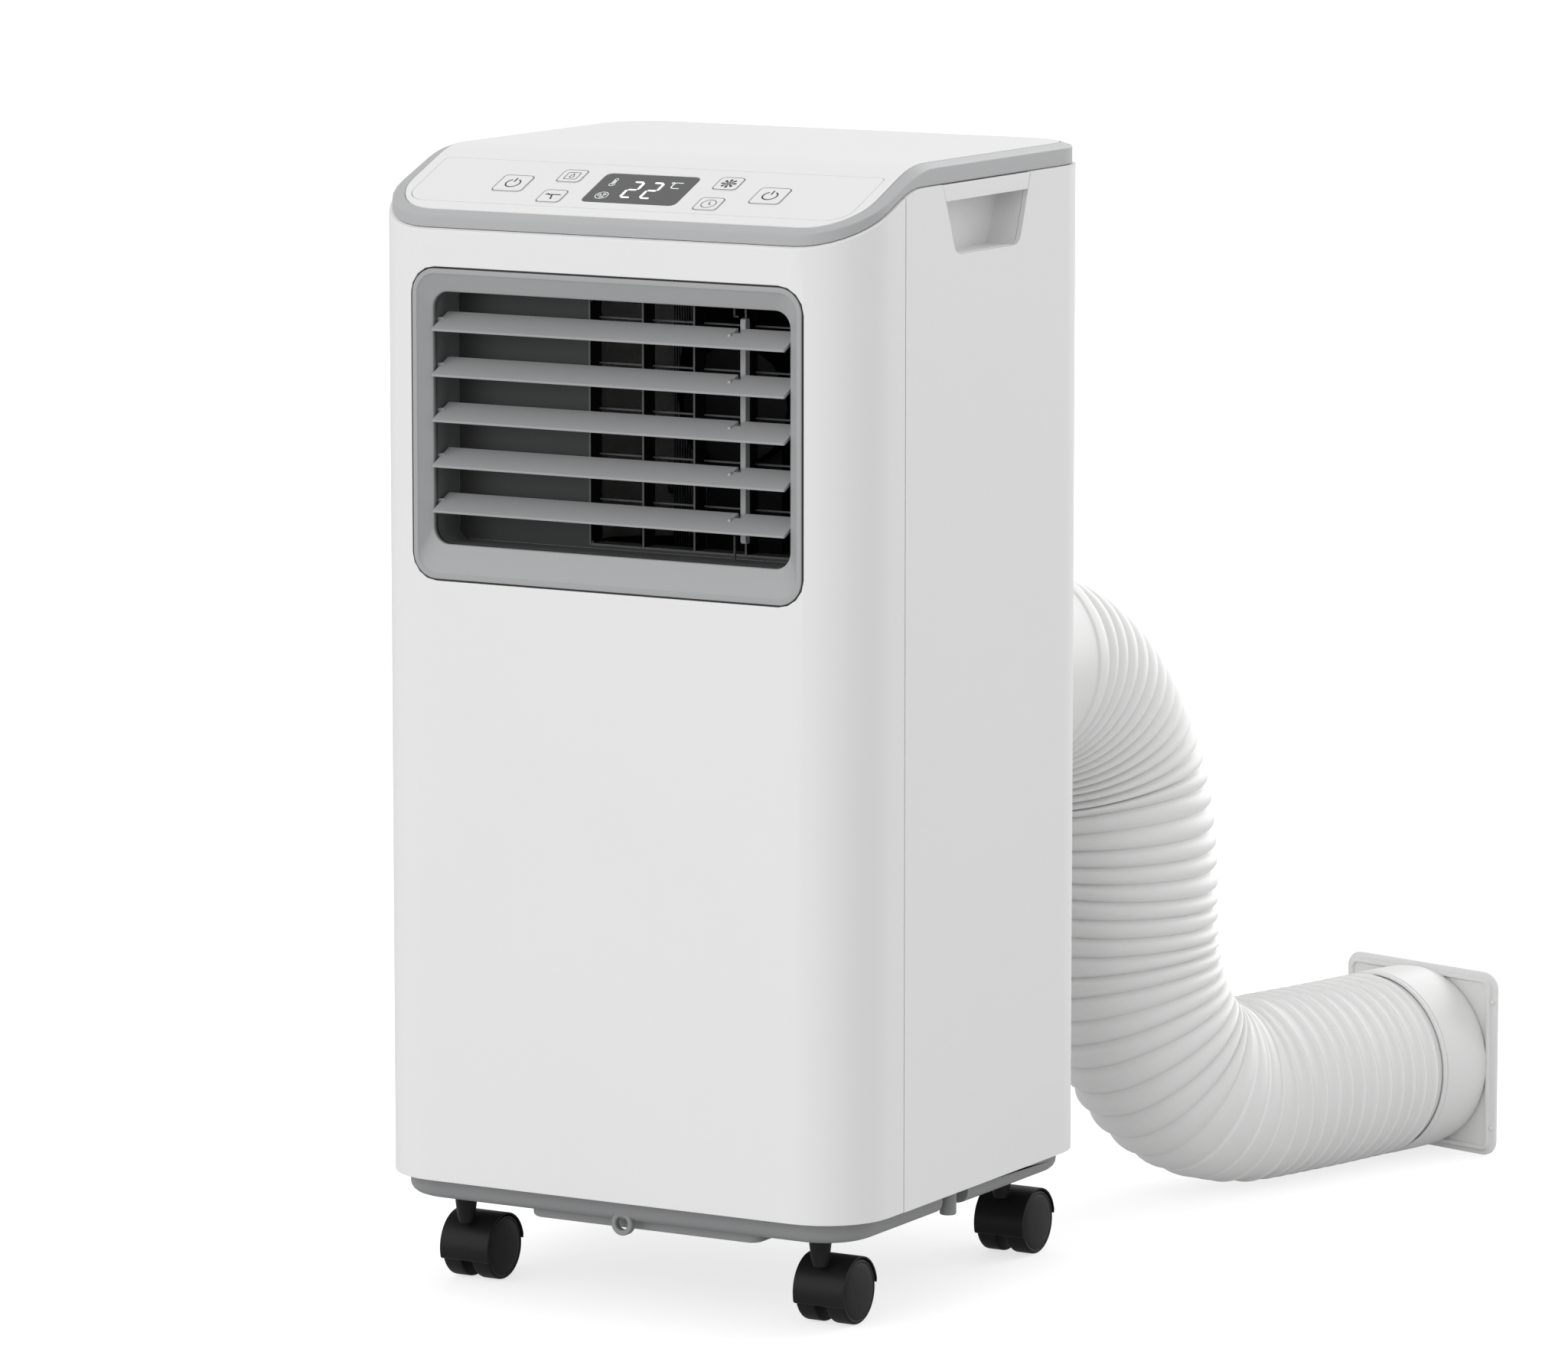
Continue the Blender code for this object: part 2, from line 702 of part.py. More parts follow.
def grille_frame():
    def outer(grow_across, grow_up):
        return rounded(-FRAME_HALF - grow_across, FRAME_HALF + grow_across,
                       FRAME_LOW - grow_up, FRAME_HIGH + grow_up, FRAME_RADIUS + grow_across)

    mouth = rounded(-MOUTH_HALF, MOUTH_HALF, MOUTH_LOW, MOUTH_HIGH, MOUTH_RADIUS)
    ring = loft([
        ring_points(outer(0.0, 0.0), FRONT),
        ring_points(outer(-FRAME_RIM, -FRAME_RIM), FRONT),
        ring_points(mouth, MOUTH_Y),
        ring_points(mouth, FRAME_BACK),
        ring_points(outer(GAP, FRAME_FLANGE), FRAME_BACK),
        ring_points(outer(GAP, FRAME_FLANGE), FRAME_FLANGE_Y),
        ring_points(outer(0.0, 0.0), FRAME_FLANGE_Y),
    ])
    make_part("grille_frame", ring, "frame_grey")


def louver_pivot(index):
    return Vector((0.0, LOUVER_PIVOT.x, LOUVER_PIVOT.y - LOUVER_PITCH * index))


def outlet_duct():
    outside = rounded(-DUCT_HALF, DUCT_HALF, DUCT_LOW, DUCT_HIGH, MOUTH_RADIUS)
    inside = rounded(-DUCT_HALF + DUCT_WALL, DUCT_HALF - DUCT_WALL,
                     DUCT_LOW + DUCT_WALL, DUCT_HIGH - DUCT_WALL, MOUTH_RADIUS - DUCT_WALL)
    duct = plate([outside], -DUCT_BACK, -FRAME_BACK - GAP, UPRIGHT)
    cut(duct, plate([inside], -DUCT_BACK + DUCT_WALL, FAR, UPRIGHT))
    opening = rounded(GUARD_LEFT, GUARD_RIGHT, GUARD_LOW, GUARD_HIGH, 0.006)
    cut(duct, plate([opening], 0.0, FAR, UPRIGHT))
    for index in range(LOUVER_COUNT):
        pivot = louver_pivot(index)
        across = Vector((PIN_END + GAP, 0.0, 0.0))
        cut(duct, rod(pivot - across, pivot + across, PIN_RADIUS + GAP, 10))
    make_part("outlet_duct", duct, "frame_grey")
    outlines = [rounded(GUARD_LEFT - GUARD_LAP, GUARD_RIGHT + GUARD_LAP,
                        GUARD_LOW - GUARD_LAP, GUARD_HIGH + GUARD_LAP, 0.006)]
    bars_x = [GUARD_BAR_X + GUARD_PITCH_X * i for i in range(GUARD_COLUMNS)]
    bars_z = [louver_pivot(i).z + GUARD_RISE for i in reversed(range(LOUVER_COUNT))]
    columns = [GUARD_LEFT, *bars_x, GUARD_RIGHT + GUARD_BAR]
    rows = [GUARD_LOW, *bars_z, GUARD_HIGH + GUARD_BAR]
    for left, right in zip(columns, columns[1:]):
        for low, high in zip(rows, rows[1:]):
            outlines.append(rectangle(left + GUARD_BAR, right - GUARD_BAR / 2,
                                      low + GUARD_BAR / 2, high - GUARD_BAR / 2))
    guard = plate(outlines, -DUCT_BACK - GUARD_THICKNESS - GAP, -DUCT_BACK - GAP, UPRIGHT)
    make_part("guard_grille", guard, "duct_black")


def rectangle(left, right, low, high):
    return [(left, low), (right, low), (right, high), (left, high)]


def blade_outline(index):
    """A thin bar with round ends, along the louver's chord."""
    tip = LOUVER_TIP - Vector((0.0, LOUVER_PITCH * index))
    tail = tip + LOUVER_CHORD
    tilt = math.degrees(math.atan2(LOUVER_CHORD.y, LOUVER_CHORD.x))
    half = LOUVER_THICKNESS / 2
    return (arc(tail, half, tilt - 90, tilt + 90, 3) + arc(tip, half, tilt + 90, tilt + 270, 3))


def capsule(first, second, half):
    """A bar with round ends between two points that lie on one level."""
    return arc(second, half, -90, 90, 4) + arc(first, half, 90, 270, 4)


def louver(index):
    pivot = louver_pivot(index)
    crank_y = pivot.y + CRANK_LENGTH
    blade = plate([blade_outline(index)], -LOUVER_HALF, LOUVER_HALF, SIDE)
    notch = box((ROD_X[0] - NOTCH_SIDE, pivot.y + NOTCH_START, pivot.z - LOUVER_PITCH / 2),
                (ROD_X[1] + NOTCH_SIDE, crank_y, pivot.z + LOUVER_PITCH / 2))
    cut(blade, notch)
    for side in (-1, 1):
        join(blade, rod((side * (LOUVER_HALF - 2 * RUN_IN), pivot.y, pivot.z),
                        (side * PIN_END, pivot.y, pivot.z), PIN_RADIUS, 10))
    tab = plate([capsule((pivot.y, pivot.z), (crank_y, pivot.z), CRANK_HALF)], *CRANK_X, SIDE)
    pin = rod((CRANK_X[1] - RUN_IN, crank_y, pivot.z), (CRANK_PIN_END, crank_y, pivot.z),
              CRANK_PIN, 8)
    make_part(f"louver_{index + 1}", join(blade, tab, pin), "louver_grey", pivot)


def louver_link_rod():
    crank = louver_pivot(0) + Vector((0.0, CRANK_LENGTH, 0.0))
    outlines = [rounded(crank.y - ROD_HALF, crank.y + ROD_HALF, ROD_LOW, ROD_HIGH, 0.0015, 2)]
    for index in range(LOUVER_COUNT):
        outlines.append(circle((crank.y, louver_pivot(index).z), ROD_HOLE, 10))
    bar = plate(outlines, *ROD_X, SIDE)
    middle = Vector(((ROD_X[0] + ROD_X[1]) / 2, crank.y, crank.z))
    make_part("louver_link_rod", bar, "louver_grey", middle)


# ---------------------------------------------------------------- handles and rear

def side_handle(side):
    """A pocket behind the side wall, and a lip in the wall's notch to hook the fingers behind."""
    def across(first, second):
        return sorted((side * first, side * second))

    def below(outline, height):
        return [(y, min(z, height)) for y, z in outline]

    under_lip = HANDLE_HIGH - HANDLE_LIP
    pocket_top = HANDLE_HIGH - GAP
    wall_inside = WIDTH / 2 - WALL - GAP
    pocket = plate([below(handle_outline(HANDLE_SKIN), pocket_top)],
                   *across(HANDLE_BACK - HANDLE_SKIN, wall_inside), SIDE)
    cavity = below(handle_outline(0.0), HANDLE_HIGH - HANDLE_SKIN)
    cut(pocket, plate([cavity], *across(HANDLE_BACK, FAR), SIDE))
    lip = plate([below(handle_outline(-GAP), pocket_top)],
                *across(WIDTH / 2 - LIP_THICKNESS, WIDTH / 2), SIDE)
    cut(lip, box((-FAR, -FAR, 0.0), (FAR, FAR, under_lip)))
    rib = plate([below(handle_outline(HANDLE_SKIN / 2), pocket_top)],
                *across(WIDTH / 2 - LIP_THICKNESS, wall_inside), SIDE)
    cut(rib, box((-FAR, -FAR, 0.0), (FAR, FAR, under_lip)))
    make_part("side_handle_right" if side > 0 else "side_handle_left",
              join(pocket, rib, lip), "white_plastic")


def slotted(half, low, high, rows):
    """Outlines of a grille: its rim, then rows and columns of slots."""
    outlines = [rounded(-half, half, low, high, 0.004)]
    width = (2 * (half - GRILLE_BORDER) + GRILLE_BAR) / GRILLE_COLUMNS
    pitch = (high - low - 2 * GRILLE_BORDER + GRILLE_BAR) / rows
    for column in range(GRILLE_COLUMNS):
        left = -half + GRILLE_BORDER + width * column
        for row in range(rows):
            bottom = low + GRILLE_BORDER + pitch * row
            outlines.append(rectangle(left, left + width - GRILLE_BAR,
                                      bottom, bottom + pitch - GRILLE_BAR))
    return outlines


def rear_grilles():
    door = plate(slotted(DOOR_HALF, DOOR_LOW, DOOR_HIGH, DOOR_ROWS),
                 -REAR, -REAR + DOOR_THICKNESS, UPRIGHT)
    for side in (-1, 1):
        join(door, rod((side * (DOOR_HALF - 2 * RUN_IN), DOOR_AXIS.y, DOOR_AXIS.z),
                       (side * DOOR_PIN_END, DOOR_AXIS.y, DOOR_AXIS.z), DOOR_PIN, 8))
    make_part("upper_intake_grille", door, "white_plastic", DOOR_AXIS)
    lower = plate(slotted(LOWER_GRILLE_HALF, LOWER_GRILLE_LOW, LOWER_GRILLE_HIGH,
                          LOWER_GRILLE_ROWS), -REAR, -REAR + DOOR_THICKNESS, UPRIGHT)
    make_part("lower_intake_grille", lower, "white_plastic")
    filter_face = -REAR + DOOR_THICKNESS + GAP
    border = FILTER_BORDER
    rim = [rounded(-FILTER_HALF, FILTER_HALF, FILTER_LOW, FILTER_HIGH, 0.003, 2),
           rectangle(-FILTER_HALF + border, FILTER_HALF - border,
                     FILTER_LOW + border, FILTER_HIGH - border)]
    frame = plate(rim, filter_face, filter_face + FILTER_THICKNESS, UPRIGHT)
    mesh = rectangle(-FILTER_HALF + border / 2, FILTER_HALF - border / 2,
                     FILTER_LOW + border / 2, FILTER_HIGH - border / 2)
    join(frame, plate([mesh], filter_face + RUN_IN, filter_face + 2 * RUN_IN, UPRIGHT))
    make_part("air_filter", frame, "duct_black")


def rear_fittings():
    """The drain plug and the gland for the mains cord."""
    back = axes((1, 0, 0), (0, 0, -1), PLUG_PLACE)          # local Z is +Y
    plug = turned([(0.0, 0.004), (PLUG_HEAD - 0.001, 0.004), (PLUG_HEAD, 0.003), (PLUG_HEAD, GAP),
                   (PLUG_RADIUS, GAP), (PLUG_RADIUS, -PLUG_LENGTH), (0.0, -PLUG_LENGTH)],
                  back, 16)
    make_part("drain_plug", plug, "rubber")
    back = axes((1, 0, 0), (0, 0, -1), GLAND_PLACE)
    gland = turned([(GLAND_BORE, 0.007), (GLAND_HEAD - 0.004, 0.007), (GLAND_HEAD, 0.003),
                    (GLAND_HEAD, GAP), (GLAND_RADIUS, GAP), (GLAND_RADIUS, -0.006),
                    (GLAND_BORE, -0.006)], back, 16, closed=True)
    make_part("cord_gland", gland, "rubber")


# ---------------------------------------------------------------- base and casters

def stem_places():
    return {
        "front_left": Vector((-STEM_X, -STEM_Y, 0.0)),
        "front_right": Vector((STEM_X, -STEM_Y, 0.0)),
        "rear_left": Vector((-STEM_X, STEM_Y, 0.0)),
        "rear_right": Vector((STEM_X, STEM_Y, 0.0)),
    }


def base_tray():
    tray = plate([cabinet_outline(BASE_INSET)], BASE_LOW, TRAY_FLOOR)
    join(tray, plate([cabinet_outline(WALL + GAP)], CABINET_BOTTOM, TRAY_RIM))
    cut(tray, plate([cabinet_outline(WALL + GAP + TRAY_RIM_WIDTH)], TRAY_FLOOR, HEIGHT))
    join(tray, box(*BELLY))
    eyelet = [circle((0.0, EYELET_Z), EYELET_RADIUS, 16), circle((0.0, EYELET_Z), EYELET_HOLE, 8)]
    join(tray, plate(eyelet, -BELLY[0].y - RUN_IN, -EYELET_FRONT, UPRIGHT))
    for side in (-1, 1):
        inner, outer = sorted((side * SIDE_NOTCH_X, side * WIDTH / 2))
        cut(tray, box((inner, SIDE_NOTCH_Y[0], 0.0), (outer, SIDE_NOTCH_Y[1], CABINET_BOTTOM)))
        boss = Vector((side * (SIDE_NOTCH_X + SIDE_BOSS_RADIUS), sum(SIDE_NOTCH_Y) / 2, 0.0))
        join(tray, rod(boss + Vector((0, 0, 0.052)), boss + Vector((0, 0, TRAY_FLOOR - RUN_IN)),
                       SIDE_BOSS_RADIUS, 12))
    for place in stem_places().values():
        socket = rod(place, place + Vector((0, 0, STEM_TOP + RUN_IN)),
                     STEM_RADIUS + STEM_CLEARANCE, 12)
        cut(tray, socket)
    make_part("base_tray", tray, "base_grey")


def caster(label, place):
    """A twin-wheel caster that trails behind its stem."""
    axle = place + Vector((0.0, TRAIL, WHEEL_RADIUS))
    center = (axle.y, axle.z)
    hood = (arc(center, HOOD_OUTER, *HOOD_ANGLES, 9)
            + arc(center, HOOD_INNER, *reversed(HOOD_ANGLES), 9))
    housing = plate([hood], place.x - HOOD_HALF, place.x + HOOD_HALF, SIDE)
    web = (arc(center, HOOD_INNER + RUN_IN, *HOOD_ANGLES, 6)
           + [(axle.y - WEB_FOOT, axle.z - WEB_FOOT), (axle.y + WEB_FOOT, axle.z - WEB_FOOT)])
    join(housing, plate([web], place.x - WEB_HALF, place.x + WEB_HALF, SIDE))
    join(housing, rod(place + Vector((0, 0, POST_LOW)), place + Vector((0, 0, POST_TOP)),
                      POST_RADIUS, 12))
    join(housing, rod(place + Vector((0, 0, POST_TOP - RUN_IN)), place + Vector((0, 0, STEM_TOP)),
                      STEM_RADIUS, 12))
    across = Vector((HOOD_HALF, 0.0, 0.0))
    cut(housing, rod(axle - across, axle + across, AXLE_RADIUS + GAP, 10))
    make_part(f"{label}_caster_housing", housing, "caster_black", place)
    across = Vector((AXLE_HALF, 0.0, 0.0))
    make_part(f"{label}_caster_axle", rod(axle - across, axle + across, AXLE_RADIUS, 10), "steel",
              axle)
    outward = 1 if place.x > 0 else -1
    wheel(f"{label}_wheel_outer", axle, outward)
    wheel(f"{label}_wheel_inner", axle, -outward)


def wheel(name, axle, side):
    """A wheel with a flat of its rim on the floor."""
    radius = WHEEL_RADIUS / math.cos(math.pi / WHEEL_SIDES)
    bore = AXLE_RADIUS + GAP
    profile = [(bore, WHEEL_OUTER_FACE), (radius - WHEEL_CHAMFER, WHEEL_OUTER_FACE),
               (radius, WHEEL_OUTER_FACE - WHEEL_CHAMFER), (radius, WHEEL_INNER_FACE),
               (bore, WHEEL_INNER_FACE)]
    half_side = Matrix.Rotation(math.pi / WHEEL_SIDES, 4, "Z")
    frame = axes((0, side, 0), (0, 0, 1), axle) @ half_side         # local Z points to the side
    make_part(name, turned(profile, frame, WHEEL_SIDES, closed=True), "caster_black")


# ---------------------------------------------------------------- exhaust hose

def catmull_rom(points, steps):
    """A smooth curve through the points, with a number of steps in each span."""
    points = [Vector(point) for point in points]
    before = 2 * points[0] - points[1]
    after = 2 * points[-1] - points[-2]
    padded = [before, *points, after]
    curve = []
    for a, b, c, d in zip(padded, padded[1:], padded[2:], padded[3:]):
        for i in range(steps):
            t = i / steps
            curve.append((2 * b + (c - a) * t + (2 * a - 5 * b + 4 * c - d) * t ** 2
                          + (3 * b - a - 3 * c + d) * t ** 3) / 2)
    return [*curve, points[-1]]


def evenly_spaced(curve, step):
    """Points on a fine curve at even distances, its end included."""
    lengths = [0.0]
    for a, b in zip(curve, curve[1:]):
        lengths.append(lengths[-1] + (b - a).length)
    count = round(lengths[-1] / step)
    spaced = []
    span = 0
    for i in range(count + 1):
        target = min(lengths[-1] * i / count, lengths[-1])
        while span < len(curve) - 2 and lengths[span + 1] < target:
            span += 1
        share = (target - lengths[span]) / (lengths[span + 1] - lengths[span])
        spaced.append(curve[span].lerp(curve[span + 1], share))
    return spaced


def exhaust_hose():
    """A plain open tube; it is narrower where it is pushed into the adapter."""
    mouth = Vector(HOSE_ROUTE[-2])
    free = evenly_spaced(catmull_rom(HOSE_ROUTE[:-1], 12), HOSE_STEP)
    inward = (Vector(HOSE_ROUTE[-1]) - mouth).normalized()
    points = [*free[:-1], mouth - 0.005 * inward, mouth - 0.001 * inward, Vector(HOSE_ROUTE[-1])]
    narrow = HOSE_CUFF / HOSE_RADIUS
    curve = bpy.data.curves.new("hose", "CURVE")
    curve.dimensions = "3D"
    curve.bevel_depth = HOSE_RADIUS
    curve.bevel_resolution = 4
    spline = curve.splines.new("POLY")
    spline.points.add(len(points) - 1)
    for index, point in enumerate(points):
        spline.points[index].co = (*point, 1.0)
        spline.points[index].radius = narrow if index >= len(points) - 2 else 1.0
    tube = as_shape(mesh_of_curve(curve))
    skin = tube.modifiers.new("wall", "SOLIDIFY")
    skin.thickness = HOSE_WALL
    skin.offset = -1.0
    make_part("exhaust_hose", tube, "hose_white")


def hose_connector():
    """The collar in the rear wall: circles about the hose, the last ones tilted down."""
    start = Vector(HOSE_ROUTE[0])
    drift = (HOSE_ROUTE[2][0] - start.x) / (HOSE_ROUTE[2][1] - start.y)

    def section(y, z, tilt, radius):
        x = start.x + drift * max(y - start.y, 0.0)
        turn = Matrix.Translation((x, y, z)) @ Matrix.Rotation(-math.radians(tilt), 4, "X")
        return [turn @ Vector((u, 0.0, v)) for u, v in circle((0.0, 0.0), radius)]

    outer = [section(*values) for values in CONNECTOR_SECTIONS]
    inner = [section(y, z, tilt, CONNECTOR_INNER)
             for y, z, tilt, radius in (CONNECTOR_SECTIONS[-1], CONNECTOR_SECTIONS[5],
                                        CONNECTOR_SECTIONS[1], CONNECTOR_SECTIONS[0])]
    make_part("hose_connector", loft(outer + inner), "hose_white")


def end_frame():
    """A frame at the adapter's mouth, with the hose's end direction as local Z."""
    mouth = Vector(HOSE_ROUTE[-2])
    onward = Vector(HOSE_ROUTE[-1]) - mouth
    across = onward.cross(Vector((0, 0, 1)))
    return axes(-across, (0, 0, 1), mouth)


def hose_adapter():
    """The collar over the hose's end: a turned ring with a stop and a narrower throat."""
    profile = [(ADAPTER_THROAT, ADAPTER_LENGTH), (ADAPTER_OUTER, ADAPTER_LENGTH),
               (ADAPTER_OUTER, 0.0), (ADAPTER_BORE, 0.0), (ADAPTER_BORE, ADAPTER_STOP),
               (ADAPTER_THROAT, ADAPTER_STOP)]
    make_part("hose_adapter", turned(profile, end_frame(), 32, closed=True), "hose_white")


def wall_flange():
    """The square plate that the adapter is fixed to, with a raised border."""
    def square(inset):
        half = PLATE_HALF - inset
        return rounded(-half, half, -half, half, PLATE_RADIUS, 3)

    throat = circle((0.0, 0.0), ADAPTER_THROAT, 32)
    frame = end_frame()
    flange = plate([square(0.0), throat], PLATE_START, PLATE_START + PLATE_THICKNESS, frame)
    border = plate([square(0.0), square(PLATE_BORDER)], PLATE_START + RUN_IN,
                   PLATE_START + 2 * PLATE_THICKNESS, frame)
    make_part("wall_flange", join(flange, border), "hose_white")


# ---------------------------------------------------------------- inside

def partition():
    shelf = plate([cabinet_outline(SHELF_INSET, 4)], SHELF_LOW, SHELF_HIGH)
    make_part("partition", shelf, "duct_black")


def coil(name, half, low, high):
    """A finned block with the ends of its tubes on both sides."""
    block = box((-half, COIL_Y[0], low), (half, COIL_Y[1], high))
    pitch = (high - low) / COIL_TUBES
    middle = sum(COIL_Y) / 2
    for i in range(COIL_TUBES):
        z = low + pitch * (i + 0.5)
        join(block, rod((-half - COIL_TUBE_OUT, middle, z), (half + COIL_TUBE_OUT, middle, z),
                        COIL_TUBE_RADIUS, 8))
    make_part(name, block, "aluminium")


def blower(name, center, radius, depth):
    """A centrifugal wheel: a back disc, a ring of blades and a front ring."""
    front = center.y
    back = center.y + depth
    wheel_disc = rod((center.x, front, center.z), (center.x, front + 2 * RUN_IN, center.z),
                     radius, 20)
    work = bmesh.new()
    chord = radius * 0.16
    for i in range(BLOWER_BLADES):
        angle = 2 * math.pi * i / BLOWER_BLADES
        place = (Matrix.Translation((center.x, (front + back) / 2, center.z))
                 @ Matrix.Rotation(angle, 4, "Y")
                 @ Matrix.Translation((radius * 0.86, 0.0, 0.0))
                 @ Matrix.Rotation(math.radians(35), 4, "Y")
                 @ Matrix.Diagonal((chord, depth - 2 * RUN_IN, 0.0016, 1.0)))
        bmesh.ops.create_cube(work, size=1.0, matrix=place)
    blades = from_bmesh(work, "blades")
    rim = plate([circle((center.x, center.z), radius, 20),
                 circle((center.x, center.z), radius * 0.78, 20)],
                -back, -back + 2 * RUN_IN, UPRIGHT)
    hub = rod((center.x, front, center.z), (center.x, front + depth * 0.4, center.z),
              HUB_RADIUS, 12)
    bore = rod((center.x, front - RUN_IN, center.z), (center.x, back, center.z),
               SHAFT_RADIUS + GAP, 10)
    join(wheel_disc, blades, rim, hub)
    cut(wheel_disc, bore)
    make_part(name, wheel_disc, "duct_black", (center.x, front, center.z))


def motor(name, center, radius, length, shaft, foot_z):
    """A motor with its shaft along +Y and a foot that reaches the shelf."""
    body = rod((center.x, center.y - length, center.z), (center.x, center.y, center.z), radius, 16)
    low, high = sorted((center.z, foot_z))
    foot = box((center.x - radius * 0.7, center.y - length * 0.8, low),
               (center.x + radius * 0.7, center.y - length * 0.2, high))
    pin = rod((center.x, center.y - RUN_IN, center.z), (center.x, center.y + shaft, center.z),
              SHAFT_RADIUS, 10)
    make_part(name, join(body, foot, pin), "aluminium")


def compressor():
    """A welded can on a square foot."""
    low = TRAY_FLOOR + GAP
    frame = Matrix.Translation(COMPRESSOR_PLACE)
    can = turned([(0.0, 0.290), (0.022, 0.290), (0.040, 0.282), (0.050, 0.262), (0.050, 0.108),
                  (0.042, 0.090), (0.030, 0.084), (0.0, 0.084)], frame, 20)
    foot = box(COMPRESSOR_PLACE + Vector((-0.055, -0.055, low)),
               COMPRESSOR_PLACE + Vector((0.055, 0.055, low + 0.014)))
    make_part("compressor", join(can, foot), "compressor_black")


def insides():
    partition()
    coil("evaporator_coil", EVAPORATOR_HALF, SHELF_HIGH + GAP, EVAPORATOR_TOP)
    coil("condenser_coil", CONDENSER_HALF, TRAY_FLOOR + GAP, CONDENSER_TOP)
    upper = Vector((0.020, 0.030, 0.530))
    blower("evaporator_blower", upper, 0.078, 0.055)
    motor("evaporator_motor", upper - Vector((0.0, 0.004, 0.0)), 0.036, 0.060, 0.024,
          SHELF_HIGH + GAP)
    lower = Vector((HOSE_ROUTE[0][0], 0.070, HOSE_ROUTE[0][2]))
    blower("condenser_blower", lower, 0.056, 0.045)
    motor("condenser_motor", lower - Vector((0.0, 0.004, 0.0)), 0.032, 0.055, 0.020,
          SHELF_LOW - GAP)
    compressor()


# ---------------------------------------------------------------- the whole object

MATERIALS = {name: make_finish(name) for name in FINISHES}

front_shell()
rear_cabinet()
trim_band()
top_cover()
control_panel()
grille_frame()
outlet_duct()
for louver_index in range(LOUVER_COUNT):
    louver(louver_index)
louver_link_rod()
for handle_side in (-1, 1):
    side_handle(handle_side)
rear_grilles()
rear_fittings()
base_tray()
for caster_label, caster_place in stem_places().items():
    caster(caster_label, caster_place)
exhaust_hose()
hose_connector()
hose_adapter()
wall_flange()
insides()
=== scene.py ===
"""Looks of a portable air conditioner with its exhaust hose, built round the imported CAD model.

Metres, +Z up, -Y is the front. Left and right are as seen from the front, so left is -X.
"""

import math

import bmesh
import bpy
from mathutils import Matrix, Vector


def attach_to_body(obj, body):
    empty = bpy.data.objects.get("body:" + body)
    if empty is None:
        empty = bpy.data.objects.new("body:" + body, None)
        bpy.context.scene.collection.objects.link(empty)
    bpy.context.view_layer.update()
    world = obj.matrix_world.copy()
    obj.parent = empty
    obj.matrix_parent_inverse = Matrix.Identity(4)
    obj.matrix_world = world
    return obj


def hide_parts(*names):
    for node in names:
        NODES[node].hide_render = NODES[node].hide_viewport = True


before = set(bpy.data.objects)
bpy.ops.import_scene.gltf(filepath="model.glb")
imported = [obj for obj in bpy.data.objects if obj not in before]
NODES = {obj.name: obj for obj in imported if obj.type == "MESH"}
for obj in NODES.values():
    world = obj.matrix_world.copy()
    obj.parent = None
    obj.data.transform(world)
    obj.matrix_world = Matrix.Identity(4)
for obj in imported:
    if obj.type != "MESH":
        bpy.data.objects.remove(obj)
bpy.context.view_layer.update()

# ---------------------------------------------------------------- camera

CAMERA_PLACE = Vector((2.41535, -4.14364, 1.06950))
CAMERA_BACK = Vector((0.492896, -0.857573, 0.147042))
LENS_MM = 186.1
SENSOR_MM = 36.0


def add_camera():
    lens = bpy.data.cameras.new("camera")
    lens.sensor_width = SENSOR_MM
    lens.lens = LENS_MM
    lens.clip_end = 200.0
    camera = bpy.data.objects.new("camera", lens)
    camera.location = CAMERA_PLACE
    camera.rotation_mode = "QUATERNION"
    camera.rotation_quaternion = (-CAMERA_BACK).to_track_quat("-Z", "Y")
    bpy.context.scene.collection.objects.link(camera)
    bpy.context.scene.camera = camera


add_camera()

# ---------------------------------------------------------------- frames and outlines


def axes(across, up, origin=(0.0, 0.0, 0.0)):
    """A frame whose local X runs across and local Y runs up."""
    across, up = Vector(across).normalized(), Vector(up).normalized()
    made = Matrix((across, up, across.cross(up))).transposed().to_4x4()
    made.translation = Vector(origin)
    return made


SLOPE = 0.43
SLOPE_START = Vector((0.0, -0.1408, 0.648))
LEVEL = Matrix.Identity(4)
ROUND_STEPS = 3
BEVEL_STEPS = 2
SLOPED = axes((1, 0, 0), (0, 1, SLOPE), SLOPE_START)        # local Z leaves the control panel


def arc(center, radius, first, last, steps):
    """Points on an arc between two angles in degrees."""
    points = []
    for i in range(steps + 1):
        angle = math.radians(first + (last - first) * i / steps)
        points.append((center[0] + radius * math.cos(angle), center[1] + radius * math.sin(angle)))
    return points


def circle(center, radius, sides=48):
    return arc(center, radius, 0.0, 360.0, sides)[:-1]


def rounded(left, right, low, high, radius, steps=10):
    """A rectangle with round corners."""
    return (arc((right - radius, low + radius), radius, -90, 0, steps)
            + arc((right - radius, high - radius), radius, 0, 90, steps)
            + arc((left + radius, high - radius), radius, 90, 180, steps)
            + arc((left + radius, low + radius), radius, 180, 270, steps))


# ---------------------------------------------------------------- meshes

def add_mesh(name, work, smooth=True):
    """Turn a bmesh into an object."""
    bmesh.ops.remove_doubles(work, verts=work.verts, dist=0.000005)
    bmesh.ops.recalc_face_normals(work, faces=work.faces)
    mesh = bpy.data.meshes.new(name)
    work.to_mesh(mesh)
    work.free()
    for polygon in mesh.polygons:
        polygon.use_smooth = smooth
    piece = bpy.data.objects.new(name, mesh)
    bpy.context.scene.collection.objects.link(piece)
    return piece


